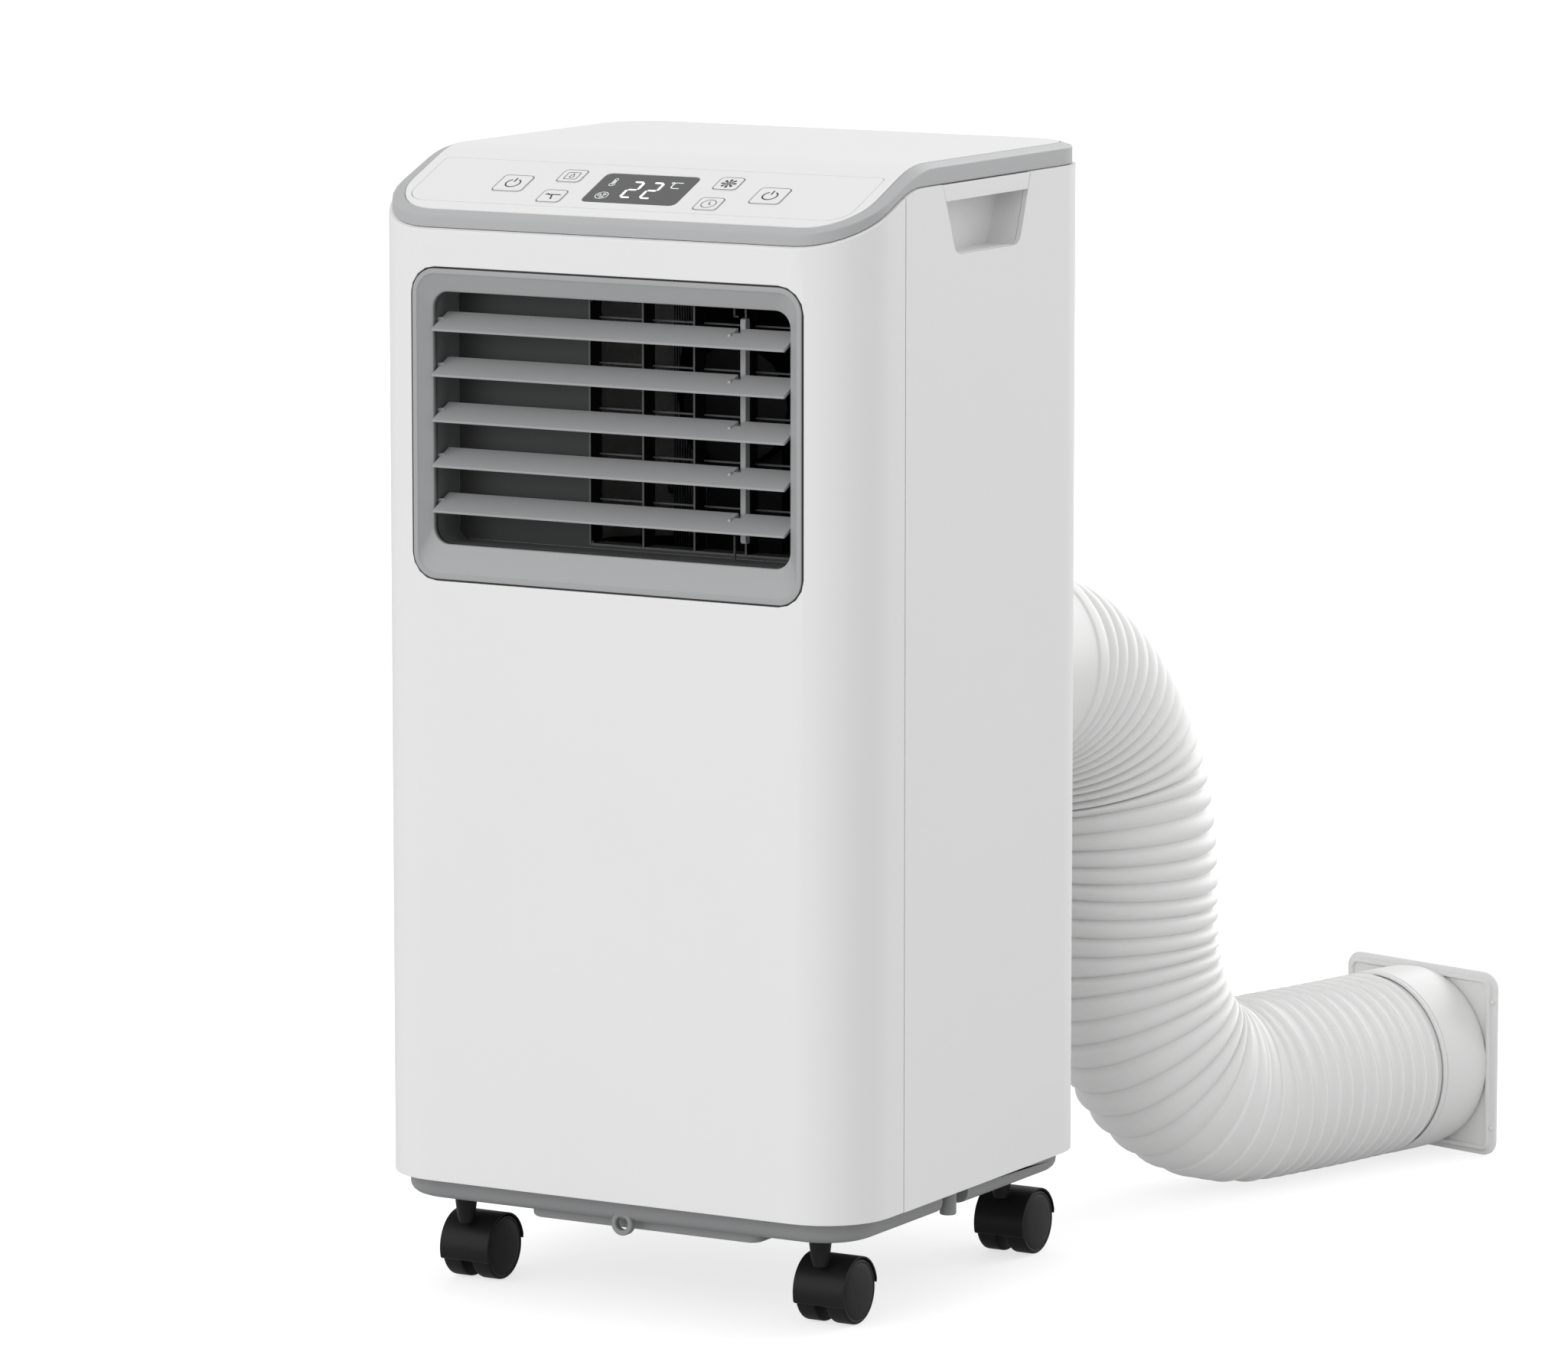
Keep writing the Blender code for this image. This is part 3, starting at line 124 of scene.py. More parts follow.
def skin(work, loops, cap_first=False, cap_last=False, closed=False):
    """Faces through loops of points, with n-gons on its ends if asked."""
    rings = [[work.verts.new(point) for point in loop] for loop in loops]
    pairs = list(zip(rings, rings[1:]))
    if closed:
        pairs.append((rings[-1], rings[0]))
    for ring, after in pairs:
        for i in range(len(ring)):
            j = (i + 1) % len(ring)
            work.faces.new((ring[i], ring[j], after[j], after[i]))
    if cap_first:
        work.faces.new(rings[0])
    if cap_last:
        work.faces.new(rings[-1])


def prism(work, outline, low, high, placed=LEVEL, round_edge=0.0):
    """A solid of an outline between two heights, with rounded rims if asked."""
    center = Vector((sum(p[0] for p in outline), sum(p[1] for p in outline))) / len(outline)
    levels = [(0.0, low), (0.0, high)]
    if round_edge:
        quarter = [math.pi / 2 * i / ROUND_STEPS for i in range(ROUND_STEPS + 1)]
        levels = ([(round_edge * (1 - math.sin(a)), low + round_edge * (1 - math.cos(a)))
                   for a in quarter]
                  + [(round_edge * (1 - math.cos(a)), high - round_edge * (1 - math.sin(a)))
                     for a in quarter])
    loops = []
    for inset, height in levels:
        loops.append([placed @ Vector((*shrunk(point, center, inset), height))
                      for point in outline])
    skin(work, loops, True, True)


def shrunk(point, center, inset):
    """A point moved towards a centre."""
    away = Vector(point) - center
    if not away.length:
        return point
    return center + away * (1 - inset / away.length)


def turned(work, profile, placed, steps=64, closed=False):
    """A profile of (radius, height) points turned about local Z."""
    loops = []
    for radius, height in profile:
        loops.append([placed @ Vector((*point, height)) for point in circle((0, 0), radius, steps)])
    caps = not closed
    skin(work, loops, caps, caps, closed)


def ribbon(work, points, width, height, placed, closed=False, thickness=0.00004):
    """A thin flat stroke through points, such as a printed line."""
    points = [Vector(point) for point in points]
    count = len(points)
    left, right = [], []
    for i, point in enumerate(points):
        before = points[i - 1] if closed or i else point
        after = points[(i + 1) % count] if closed or i < count - 1 else point
        way_in = (point - before).normalized() if before != point else (after - point).normalized()
        way_out = (after - point).normalized() if after != point else way_in
        normal = Vector((-way_in.y - way_out.y, way_in.x + way_out.x)).normalized()
        reach = width / 2 / max(normal.dot(Vector((-way_in.y, way_in.x))), 0.4)
        left.append(point + normal * reach)
        right.append(point - normal * reach)
    spans = zip(range(count if closed else count - 1), [*range(1, count), 0])
    for i, j in spans:
        corners = [left[i], left[j], right[j], right[i]]
        lower = [work.verts.new(placed @ Vector((*c, height))) for c in corners]
        upper = [work.verts.new(placed @ Vector((*c, height + thickness))) for c in corners]
        work.faces.new(lower)
        work.faces.new(upper)
        for a in range(4):
            b = (a + 1) % 4
            work.faces.new((lower[a], lower[b], upper[b], upper[a]))


# ---------------------------------------------------------------- materials

def add_node(tree, kind, **values):
    node = tree.nodes.new(kind)
    for key, value in values.items():
        socket = key.replace("_", " ")
        if socket in node.inputs:
            node.inputs[socket].default_value = value
        else:
            setattr(node, key, value)
    return node


def scaled(color, factor):
    return (*[min(channel * factor, 1.0) for channel in color], 1.0)


def moulded(name, color, roughness, grain_mm=0.5, grain_depth=0.02, mottle=0.03,
            rough_spread=0.06, metallic=0.0, streak=None, coat=0.0, bands=None):
    """Moulded plastic, painted metal or rubber: grain, cloudy colour and uneven gloss.

    grain_depth is in millimetres. streak stretches the grain along an axis. bands is
    (axis, pitch in metres, depth in millimetres, darkness) for fins or a woven screen.
    """
    material = bpy.data.materials.new(name)
    material.use_nodes = True
    tree = material.node_tree
    links = tree.links
    shader = tree.nodes["Principled BSDF"]
    shader.inputs["Metallic"].default_value = metallic
    shader.inputs["Coat Weight"].default_value = coat
    shader.inputs["Coat Roughness"].default_value = 0.25
    place = add_node(tree, "ShaderNodeTexCoord")
    spread = add_node(tree, "ShaderNodeMapping")
    spread.inputs["Scale"].default_value = streak or (1.0, 1.0, 1.0)
    links.new(place.outputs["Object"], spread.inputs["Vector"])
    cloud = add_node(tree, "ShaderNodeTexNoise", Scale=9.0, Detail=4.0, Roughness=0.6)
    links.new(spread.outputs["Vector"], cloud.inputs["Vector"])
    tint = add_node(tree, "ShaderNodeMix", data_type="RGBA")
    tint.inputs["A"].default_value = scaled(color, 1 - mottle)
    tint.inputs["B"].default_value = scaled(color, 1 + mottle)
    links.new(cloud.outputs["Fac"], tint.inputs["Factor"])
    surface = tint.outputs["Result"]
    gloss = add_node(tree, "ShaderNodeMapRange")
    gloss.inputs["To Min"].default_value = max(roughness - rough_spread, 0.02)
    gloss.inputs["To Max"].default_value = roughness + rough_spread
    links.new(cloud.outputs["Fac"], gloss.inputs["Value"])
    links.new(gloss.outputs["Result"], shader.inputs["Roughness"])
    grain = add_node(tree, "ShaderNodeTexNoise", Scale=1000.0 / grain_mm, Detail=2.0)
    links.new(spread.outputs["Vector"], grain.inputs["Vector"])
    bump = add_node(tree, "ShaderNodeBump", Strength=1.0, Distance=grain_depth / 1000.0)
    links.new(grain.outputs["Fac"], bump.inputs["Height"])
    relief = bump
    if bands:
        axis, pitch, depth, dark = bands
        wave = add_node(tree, "ShaderNodeTexWave", wave_type="BANDS", bands_direction=axis)
        wave.inputs["Scale"].default_value = math.pi / (10.0 * pitch)
        links.new(place.outputs["Object"], wave.inputs["Vector"])
        relief = add_node(tree, "ShaderNodeBump", Strength=1.0, Distance=depth / 1000.0)
        links.new(wave.outputs["Fac"], relief.inputs["Height"])
        links.new(bump.outputs["Normal"], relief.inputs["Normal"])
        shade = add_node(tree, "ShaderNodeMix", data_type="RGBA")
        shade.inputs["A"].default_value = scaled(color, dark)
        links.new(wave.outputs["Fac"], shade.inputs["Factor"])
        links.new(surface, shade.inputs["B"])
        surface = shade.outputs["Result"]
    links.new(surface, shader.inputs["Base Color"])
    links.new(relief.outputs["Normal"], shader.inputs["Normal"])
    return material


def lit(name, color, strength):
    """A lit segment of the display, with uneven light along it."""
    material = bpy.data.materials.new(name)
    material.use_nodes = True
    tree = material.node_tree
    shader = tree.nodes["Principled BSDF"]
    shader.inputs["Emission Strength"].default_value = strength
    shader.inputs["Roughness"].default_value = 0.4
    place = add_node(tree, "ShaderNodeTexCoord")
    cloud = add_node(tree, "ShaderNodeTexNoise", Scale=220.0)
    tint = add_node(tree, "ShaderNodeMix", data_type="RGBA")
    tint.inputs["A"].default_value = scaled(color, 0.92)
    tint.inputs["B"].default_value = scaled(color, 1.0)
    tree.links.new(place.outputs["Object"], cloud.inputs["Vector"])
    tree.links.new(cloud.outputs["Fac"], tint.inputs["Factor"])
    tree.links.new(tint.outputs["Result"], shader.inputs["Base Color"])
    tree.links.new(tint.outputs["Result"], shader.inputs["Emission Color"])
    return material


WHITE = moulded("white_plastic", (0.78, 0.78, 0.78), 0.42, 0.45, 0.010, 0.012)
TRIM = moulded("trim_grey", (0.42, 0.424, 0.43), 0.42, 0.35, 0.010, 0.02)
FRAME_GREY = moulded("frame_grey", (0.355, 0.359, 0.364), 0.45, 0.35, 0.012, 0.02)
LOUVER_GREY = moulded("louver_grey", (0.36, 0.364, 0.37), 0.45, 0.35, 0.010, 0.025)
THROAT = moulded("throat_grey", (0.14, 0.143, 0.146), 0.50, 0.35, 0.012, 0.03)
PANEL = moulded("duct_panel", (0.022, 0.023, 0.024), 0.50, 0.5, 0.015, 0.06)
GUARD = moulded("guard_black", (0.10, 0.101, 0.103), 0.45, 0.5, 0.010, 0.06)
# painted shade: near-black for the parts inside the cabinet and the guard fins' sides, standing in for
# the dark there
SHADE_BLACK = moulded("duct_black", (0.003, 0.003, 0.003), 0.80, 0.6, 0.02, 0.10)
SCREEN = moulded("filter_black", (0.03, 0.03, 0.032), 0.75, 0.4, 0.03, 0.10,
                 bands=("Z", 0.0012, 0.25, 0.35))
GLASS = moulded("display_black", (0.040, 0.041, 0.043), 0.12, 1.0, 0.001, 0.06, 0.03, coat=0.3)
BASE = moulded("base_grey", (0.25, 0.253, 0.257), 0.52, 0.4, 0.02, 0.03)
NYLON = moulded("caster_black", (0.012, 0.012, 0.013), 0.40, 0.5, 0.012, 0.12)
STEEL = moulded("steel", (0.56, 0.56, 0.57), 0.28, 0.2, 0.004, 0.05, metallic=1.0,
                streak=(0.1, 1.0, 1.0))
# painted highlight: a lighter white on the faces over the hose's wires paints the lit ridge of each wire
WIRE_HIGHLIGHT = moulded("hose_wire_highlight", (0.93, 0.93, 0.925), 0.42, 0.6, 0.010, 0.02)
HOSE = moulded("hose_white", (0.85, 0.85, 0.845), 0.46, 0.6, 0.015, 0.02)
RING = moulded("ring_white", (0.79, 0.79, 0.785), 0.40, 0.4, 0.008, 0.015)
FINS = moulded("coil_aluminium", (0.60, 0.61, 0.62), 0.38, 0.3, 0.01, 0.05, metallic=1.0,
               bands=("X", 0.0018, 0.6, 0.06))
# painted shade: the motors are near-black to stand in for the dark inside the cabinet
MOTOR_SHADE = moulded("motor_painted_shade", (0.004, 0.004, 0.004), 0.55, 0.3, 0.01, 0.08)
CAN = moulded("compressor_black", (0.03, 0.03, 0.033), 0.35, 0.8, 0.03, 0.15)
BOARD = moulded("board_green", (0.04, 0.17, 0.08), 0.45, 0.6, 0.01, 0.15)
RUBBER = moulded("rubber", (0.025, 0.025, 0.025), 0.75, 0.4, 0.03, 0.12)
DARK_SPECULAR = 0.15            # of the blackest materials: the caster plastic and the near-black painted shade
for dark in (NYLON, SHADE_BLACK, MOTOR_SHADE):
    dark.node_tree.nodes["Principled BSDF"].inputs["Specular IOR Level"].default_value = DARK_SPECULAR
INK = moulded("print_grey", (0.035, 0.035, 0.038), 0.55, 0.2, 0.002, 0.08)
GLOW = lit("segment_white", (0.95, 0.96, 0.97), 0.95)
SYMBOL = lit("symbol_white", (0.78, 0.79, 0.80), 0.45)


def soften(piece, width, angle=30.0, dissolve=True):
    """Round the sharp edges a little and keep flat faces flat."""
    if "custom_normal" in piece.data.attributes:
        piece.data.attributes.remove(piece.data.attributes["custom_normal"])
    for polygon in piece.data.polygons:
        polygon.use_smooth = True
    weld = piece.modifiers.new("weld", "WELD")
    weld.merge_threshold = 0.00001
    if dissolve:
        flat = piece.modifiers.new("flat", "DECIMATE")
        flat.decimate_type = "DISSOLVE"
        flat.angle_limit = math.radians(0.5)
    rounding = piece.modifiers.new("round", "BEVEL")
    rounding.width = width
    rounding.segments = BEVEL_STEPS
    rounding.limit_method = "ANGLE"
    rounding.angle_limit = math.radians(angle)
    rounding.use_clamp_overlap = True
    even = piece.modifiers.new("even", "WEIGHTED_NORMAL")
    even.keep_sharp = True
    return piece


def dress(name, material, width=0.0004, angle=30.0, dissolve=True):
    """Give a CAD node its material and soft edges."""
    node = NODES[name]
    node.data.materials.clear()
    node.data.materials.append(material)
    return soften(node, width, angle, dissolve=dissolve)


def attach(piece, body, material, replaced=()):
    """Put a new piece on its body, with its finish, in place of CAD nodes."""
    piece.data.materials.clear()
    piece.data.materials.append(material)
    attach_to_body(piece, body)
    if replaced:
        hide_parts(*replaced)
    return piece


# ---------------------------------------------------------------- exhaust hose

HOSE_ROUTE = (
    (0.0755, 0.1500, 0.3500),
    (0.0760, 0.1790, 0.3500),
    (0.0775, 0.2070, 0.3485),
    (0.0795, 0.2345, 0.3430),
    (0.0825, 0.2600, 0.3315),
    (0.0860, 0.2815, 0.3135),
    (0.0900, 0.2975, 0.2905),
    (0.0945, 0.3065, 0.2645),
    (0.0995, 0.3085, 0.2365),
    (0.1018, 0.3090, 0.2081),
    (0.1026, 0.3086, 0.1805),
    (0.1044, 0.3089, 0.1528),
    (0.1097, 0.3111, 0.1249),
    (0.1175, 0.3178, 0.0993),
    (0.1266, 0.3302, 0.0791),
    (0.1371, 0.3471, 0.0661),
    (0.1469, 0.3688, 0.0602),
    (0.1558, 0.3929, 0.0600),
    (0.1639, 0.4185, 0.0600),
    (0.1720, 0.4450, 0.0600),
    (0.1790, 0.4725, 0.0600),
    (0.1860, 0.5000, 0.0600),
    (0.19316, 0.52707, 0.0600),
)
HOSE_RADIUS = 0.0590            # over the ribs
HOSE_WALL = 0.0012
CUFF_RADIUS = 0.0565
CUFF_START = 0.0330             # before the hose's end
PLATE_START = 0.0400            # past the adapter's mouth
FOLD_DEPTH = 0.0050
FILM_DEPTH = 0.0023             # of the film between two wires
FILM_SAG = 0.0006
WIRE_SHARE = 0.14               # of half a rib
RIB_PITCH = 0.0112
OPENS_FROM = 0.37               # along the hose, from compressed to stretched
OPENS_TO = 0.47
RINGS_PER_RIB = 20
HOSE_SIDES = 72


def catmull_rom(points, steps):
    """A smooth curve through the points, with a number of steps in each span."""
    points = [Vector(point) for point in points]
    padded = [2 * points[0] - points[1], *points, 2 * points[-1] - points[-2]]
    curve = []
    for a, b, c, d in zip(padded, padded[1:], padded[2:], padded[3:]):
        for i in range(steps):
            t = i / steps
            curve.append((2 * b + (c - a) * t + (2 * a - 5 * b + 4 * c - d) * t ** 2
                          + (3 * b - a - 3 * c + d) * t ** 3) / 2)
    return [*curve, points[-1]]


def at_length(curve, lengths, target):
    """The point and the direction at a distance along a fine curve."""
    span = 0
    while span < len(curve) - 2 and lengths[span + 1] < target:
        span += 1
    share = (target - lengths[span]) / (lengths[span + 1] - lengths[span])
    before, after = [curve[min(i + 1, len(curve) - 1)] - curve[max(i - 1, 0)]
                     for i in (span, span + 1)]
    return curve[span].lerp(curve[span + 1], share), before.lerp(after, share).normalized()


def share_between(value, low, high):
    share = min(max((value - low) / (high - low), 0.0), 1.0)
    return share * share * (3 - 2 * share)


def rib_radius(phase, openness):
    """Bulges with folds between where the hose is compressed, wires under film where it's open."""
    across = abs(2 * phase - 1)
    folded = HOSE_RADIUS - FOLD_DEPTH * across ** 2.4
    wire = math.exp(-((1 - across) / WIRE_SHARE) ** 2)
    stretched = HOSE_RADIUS - FILM_DEPTH + FILM_DEPTH * wire - FILM_SAG * (1 - across ** 2)
    return folded * (1 - openness) + stretched * openness


def exhaust_hose():
    curve = catmull_rom(HOSE_ROUTE, 16)
    lengths = [0.0]
    for a, b in zip(curve, curve[1:]):
        lengths.append(lengths[-1] + (b - a).length)
    total = lengths[-1]
    stations, wire_highlights = [], []
    along, phase = 0.0, 0.0
    while along < total - CUFF_START:
        openness = share_between(along, OPENS_FROM, OPENS_TO)
        stations.append((along, rib_radius(phase % 1.0, openness)))
        # marks the faces over the wires of the open hose for the painted highlight
        wire_highlights.append(openness > 0.3 and abs(2 * (phase % 1.0) - 1) > 1 - WIRE_SHARE)
        along += RIB_PITCH / RINGS_PER_RIB
        phase += 1.0 / RINGS_PER_RIB
    stations += [(total - CUFF_START + 0.003, CUFF_RADIUS), (total, CUFF_RADIUS)]
    loops = []
    side = Vector((1, 0, 0))
    for place, radius in stations:
        center, way = at_length(curve, lengths, place)
        side = (side - way * side.dot(way)).normalized()
        up = way.cross(side)
        loops.append([center + side * u + up * v for u, v in circle((0, 0), radius, HOSE_SIDES)])
    work = bmesh.new()
    skin(work, loops)
    hose = add_mesh("hose_corrugated", work)
    wall = hose.modifiers.new("wall", "SOLIDIFY")
    wall.thickness = HOSE_WALL
    wall.offset = -1.0
    attach(hose, "cabinet", HOSE, ["exhaust_hose"])
    # painted highlight: the marked faces over the wires take the lighter material
    hose.data.materials.append(WIRE_HIGHLIGHT)
    for index, on_wire_highlight in enumerate(wire_highlights[:-1]):
        for polygon in hose.data.polygons[index * HOSE_SIDES:(index + 1) * HOSE_SIDES]:
            polygon.material_index = int(on_wire_highlight)
    return hose, [at_length(curve, lengths, total * i / 40)[0] for i in range(41)]


def end_frame():
    """A frame at the adapter's mouth, with the hose's end direction as local Z."""
    mouth = Vector(HOSE_ROUTE[-2])
    onward = Vector(HOSE_ROUTE[-1]) - mouth
    return axes(-onward.cross(Vector((0, 0, 1))), (0, 0, 1), mouth)


def hose_connector():
    """The collar in the rear wall: circles of (y, tilt in degrees, radius) about the hose."""
    start = Vector(HOSE_ROUTE[0])
    drift = (HOSE_ROUTE[2][0] - start.x) / (HOSE_ROUTE[2][1] - start.y)
    outer = ((0.1340, 0.0, 0.0618), (0.1506, 0.0, 0.0620), (0.1506, 0.0, 0.0655),
             (0.1510, 0.0, 0.0662), (0.1530, 0.0, 0.0662), (0.1537, 0.0, 0.0656),
             (0.1541, 0.0, 0.0640), (0.1548, 0.0, 0.0630), (0.1560, 0.0, 0.0627),
             (0.1990, 10.0, 0.0631), (0.1998, 10.5, 0.0632), (0.2004, 11.0, 0.0639),
             (0.2014, 11.3, 0.0644), (0.2066, 11.7, 0.0645), (0.2088, 12.0, 0.0642),
             (0.2096, 12.0, 0.0634))
    inner = ((0.2096, 12.0, 0.0606), (0.2090, 12.0, 0.0601), (0.1970, 10.0, 0.0600),
             (0.1506, 0.0, 0.0600), (0.1340, 0.0, 0.0600))
    loops = []
    for y, tilt, radius in outer + inner:
        x = start.x + drift * max(y - start.y, 0.0)
        z = start.z - 0.0015 * share_between(y, 0.17, 0.206)
        turn = Matrix.Translation((x, y, z)) @ Matrix.Rotation(-math.radians(tilt), 4, "X")
        loops.append([turn @ Vector((u, 0.0, v)) for u, v in circle((0, 0), radius, 96)])
    work = bmesh.new()
    skin(work, loops, closed=True)
    piece = attach(add_mesh("hose_collar", work), "cabinet", RING,
                   ["hose_connector"])
    piece.modifiers.new("even", "WEIGHTED_NORMAL")
    return piece


def hose_adapter():
    """The collar over the hose's end, with a rounded lip, a fine groove and a throat."""
    profile = [
        (0.0520, 0.0448), (0.0566, 0.0448), (0.0576, 0.0420), (0.0586, 0.0360), (0.0591, 0.0280),
        (0.0592, 0.0200), (0.0592, 0.0040), (0.0590, 0.0036), (0.0586, 0.0034),
        (0.0586, 0.0026), (0.0590, 0.0024), (0.0592, 0.0020), (0.0592, 0.0008), (0.0589, 0.0002),
        (0.0585, 0.0), (0.0578, 0.0), (0.0574, 0.0002), (0.0572, 0.0008), (0.0572, 0.0290),
        (0.0520, 0.0310),
    ]
    work = bmesh.new()
    turned(work, profile, end_frame(), 96, closed=True)
    piece = attach(add_mesh("hose_end_adapter", work), "cabinet", RING,
                   ["hose_adapter"])
    piece.modifiers.new("even", "WEIGHTED_NORMAL")
    return piece


def wall_flange():
    """The square plate: a dished front with a raised inner ridge, a rim and a back border."""
    half = 0.0598
    placed = end_frame() @ Matrix.Translation((0.0, 0.0, PLATE_START))

    def square(inset, height):
        radius = max(0.0100 - inset, 0.002)
        outline = rounded(-half - 0.0030 + inset, half + 0.0030 - inset, -half + inset,
                          half - inset, radius)
        return [placed @ Vector((u, v, height)) for u, v in outline]

    def throat(radius, height):
        outline = rounded(-radius, radius, -radius, radius, radius)
        return [placed @ Vector((u, v, height)) for u, v in outline]

    work = bmesh.new()
    skin(work, [
        throat(0.0520, 0.0045), square(0.0066, 0.0045), square(0.0063, 0.0032),
        square(0.0059, 0.0028), square(0.0042, 0.0028), square(0.0038, 0.0031),
        square(0.0036, 0.0052), square(0.0008, 0.0054), square(0.0002, 0.0057),
        square(0.0, 0.0062), square(0.0, 0.0078), square(0.0004, 0.0084), square(0.0010, 0.0085),
        square(0.0034, 0.0085), square(0.0040, 0.0082), square(0.0042, 0.0066),
        throat(0.0520, 0.0066),
    ], closed=True)
    plate = attach(add_mesh("end_plate", work), "cabinet", RING, ["wall_flange"])
    plate.modifiers.new("even", "WEIGHTED_NORMAL")
    work = bmesh.new()
    for u, v in ((0.0606, 0.0412), (-0.0606, 0.0412), (0.0606, -0.0412), (-0.0606, -0.0412)):
        spot = placed @ Matrix.Translation((u, v, 0.0)) @ Matrix.Rotation(math.pi, 4, "X")
        turned(work, [(0.0015, -0.0058), (0.0015, -0.0044), (0.0012, -0.0038), (0.0006, -0.0035)],
               spot, 20)
    screws = attach(add_mesh("end_plate_screws", work), "cabinet", RING)
    return [plate, screws]


hose_piece, hose_path = exhaust_hose()
hose_ends = [hose_connector(), hose_adapter(), *wall_flange()]

# ---------------------------------------------------------------- stage and light

FLOOR_TONE = 0.43
FLOOR_REACH = 80.0
FLOOR_GLOW = 0.18
FLOOR_SEEN = 0.70               # the floor's own glow as the camera sees it
SKY = 0.77
SUN_SPREAD = 60                 # degrees
SUNS = {
    "sun_behind": (1.50, Vector((0.20, 0.89, 0.40))),
    "sun_front": (1.10, Vector((-0.34, -0.86, 0.36))),
}


def add_stage():
    work = bmesh.new()
    bmesh.ops.create_grid(work, x_segments=1, y_segments=1, size=FLOOR_REACH)
    bmesh.ops.translate(work, verts=work.verts, vec=(0.0, 0.0, -0.0002))
    floor = add_mesh("floor", work)
    material = moulded("floor_white", (FLOOR_TONE, FLOOR_TONE, FLOOR_TONE), 0.85, 3.0, 0.0, 0.01)
    tree = material.node_tree
    shader = tree.nodes["Principled BSDF"]
    shader.inputs["Emission Color"].default_value = (1.0, 1.0, 1.0, 1.0)
    glow = add_node(tree, "ShaderNodeMapRange")
    glow.inputs["To Min"].default_value = FLOOR_GLOW
    glow.inputs["To Max"].default_value = FLOOR_SEEN
    seen = add_node(tree, "ShaderNodeLightPath")
    tree.links.new(seen.outputs["Is Camera Ray"], glow.inputs["Value"])
    tree.links.new(glow.outputs["Result"], shader.inputs["Emission Strength"])
    floor.data.materials.append(material)
    world = bpy.data.worlds.new("studio")
    world.use_nodes = True
    sky = world.node_tree.nodes["Background"]
    sky.inputs["Color"].default_value = (1.0, 1.0, 1.0, 1.0)
    sky.inputs["Strength"].default_value = SKY
    bpy.context.scene.world = world
    for name, (energy, source) in SUNS.items():
        sun = bpy.data.lights.new(name, "SUN")
        sun.energy = energy
        sun.angle = math.radians(SUN_SPREAD)
        lamp = bpy.data.objects.new(name, sun)
        lamp.rotation_mode = "QUATERNION"
        lamp.rotation_quaternion = source.to_track_quat("Z", "Y")
        bpy.context.scene.collection.objects.link(lamp)
    bpy.context.scene.view_settings.view_transform = "Standard"
    bpy.context.scene.view_settings.look = "None"


add_stage()

# ---------------------------------------------------------------- cabinet

def dress_cabinet():
    for name in ("front_shell", "rear_cabinet"):
        dress(name, WHITE, 0.0006)
    dress("trim_band", TRIM, 0.0006, 20.0)
    dress("top_cover", WHITE, 0.0004)
    dress("control_panel", WHITE, 0.00015)
    dress("display_window", GLASS, 0.00015)
    dress("outlet_duct", THROAT, 0.0002, dissolve=False)
    for side in ("left", "right"):
        dress(f"side_handle_{side}", WHITE, 0.0008)
    dress("upper_intake_grille", WHITE, 0.0004)
    dress("lower_intake_grille", WHITE, 0.0004)
    dress("air_filter", SCREEN, 0.0003)
    dress("drain_plug", RUBBER, 0.0003)
    dress("cord_gland", RUBBER, 0.0003)
    dress("control_board", BOARD, 0.0002)
    # painted shade: the partition takes the near-black painted shade
    dress("partition", SHADE_BLACK, 0.0003)
    for name in ("evaporator_coil", "condenser_coil"):
        dress(name, FINS, 0.0003)
    # painted shade: the blowers take the near-black painted shade
    for name in ("evaporator_blower", "condenser_blower"):
        dress(name, SHADE_BLACK, 0.0002)
    # painted shade: the motors take the near-black painted shade
    for name in ("evaporator_motor", "condenser_motor"):
        dress(name, MOTOR_SHADE, 0.0008)
    dress("compressor", CAN, 0.0008)
    for index in range(1, 6):
        dress(f"louver_{index}", LOUVER_GREY, 0.0002, 40.0)
    dress("louver_link_rod", LOUVER_GREY, 0.0003)


dress_cabinet()

# ---------------------------------------------------------------- air outlet

FRONT = -0.15025
REAR = 0.15025
FRAME_HALF = 0.1319
FRAME_LOW = 0.4302
FRAME_HIGH = 0.6146
FRAME_RADIUS = 0.016
MOUTH = (0.1207, 0.4510, 0.6000, 0.010)
DUCT_INSIDE = -0.1155           # front face of the duct's back wall
GUARD_BOX = (-0.031, 0.119, 0.4525, 0.5985)
GUARD_FRONT = -0.1035
STOP_LEFT, STOP_RIGHT = 0.0742, 0.0754      # the little stops beside the link rod
STOP_FRONT, STOP_BACK = -0.1290, -0.1280
GUARD_FINS_X = (0.0059, 0.0405, 0.0751, 0.1097)
GUARD_BARS_Z = (0.5859, 0.5591, 0.5323, 0.5055, 0.4787)


def block(work, low, high):
    """A box between two corners."""
    (x0, y0, z0), (x1, y1, z1) = low, high
    loops = [[(x0, y0, z), (x1, y0, z), (x1, y1, z), (x0, y1, z)] for z in (z0, z1)]
    skin(work, loops, True, True)


def frame_outline(inset, y, up=0.0):
    """The outlet frame's outline; up also grows it above and below."""
    outline = rounded(-FRAME_HALF + inset, FRAME_HALF - inset, FRAME_LOW + inset - up,
                      FRAME_HIGH - inset + up, FRAME_RADIUS - inset, 12)
    return [(u, y, v) for u, v in outline]


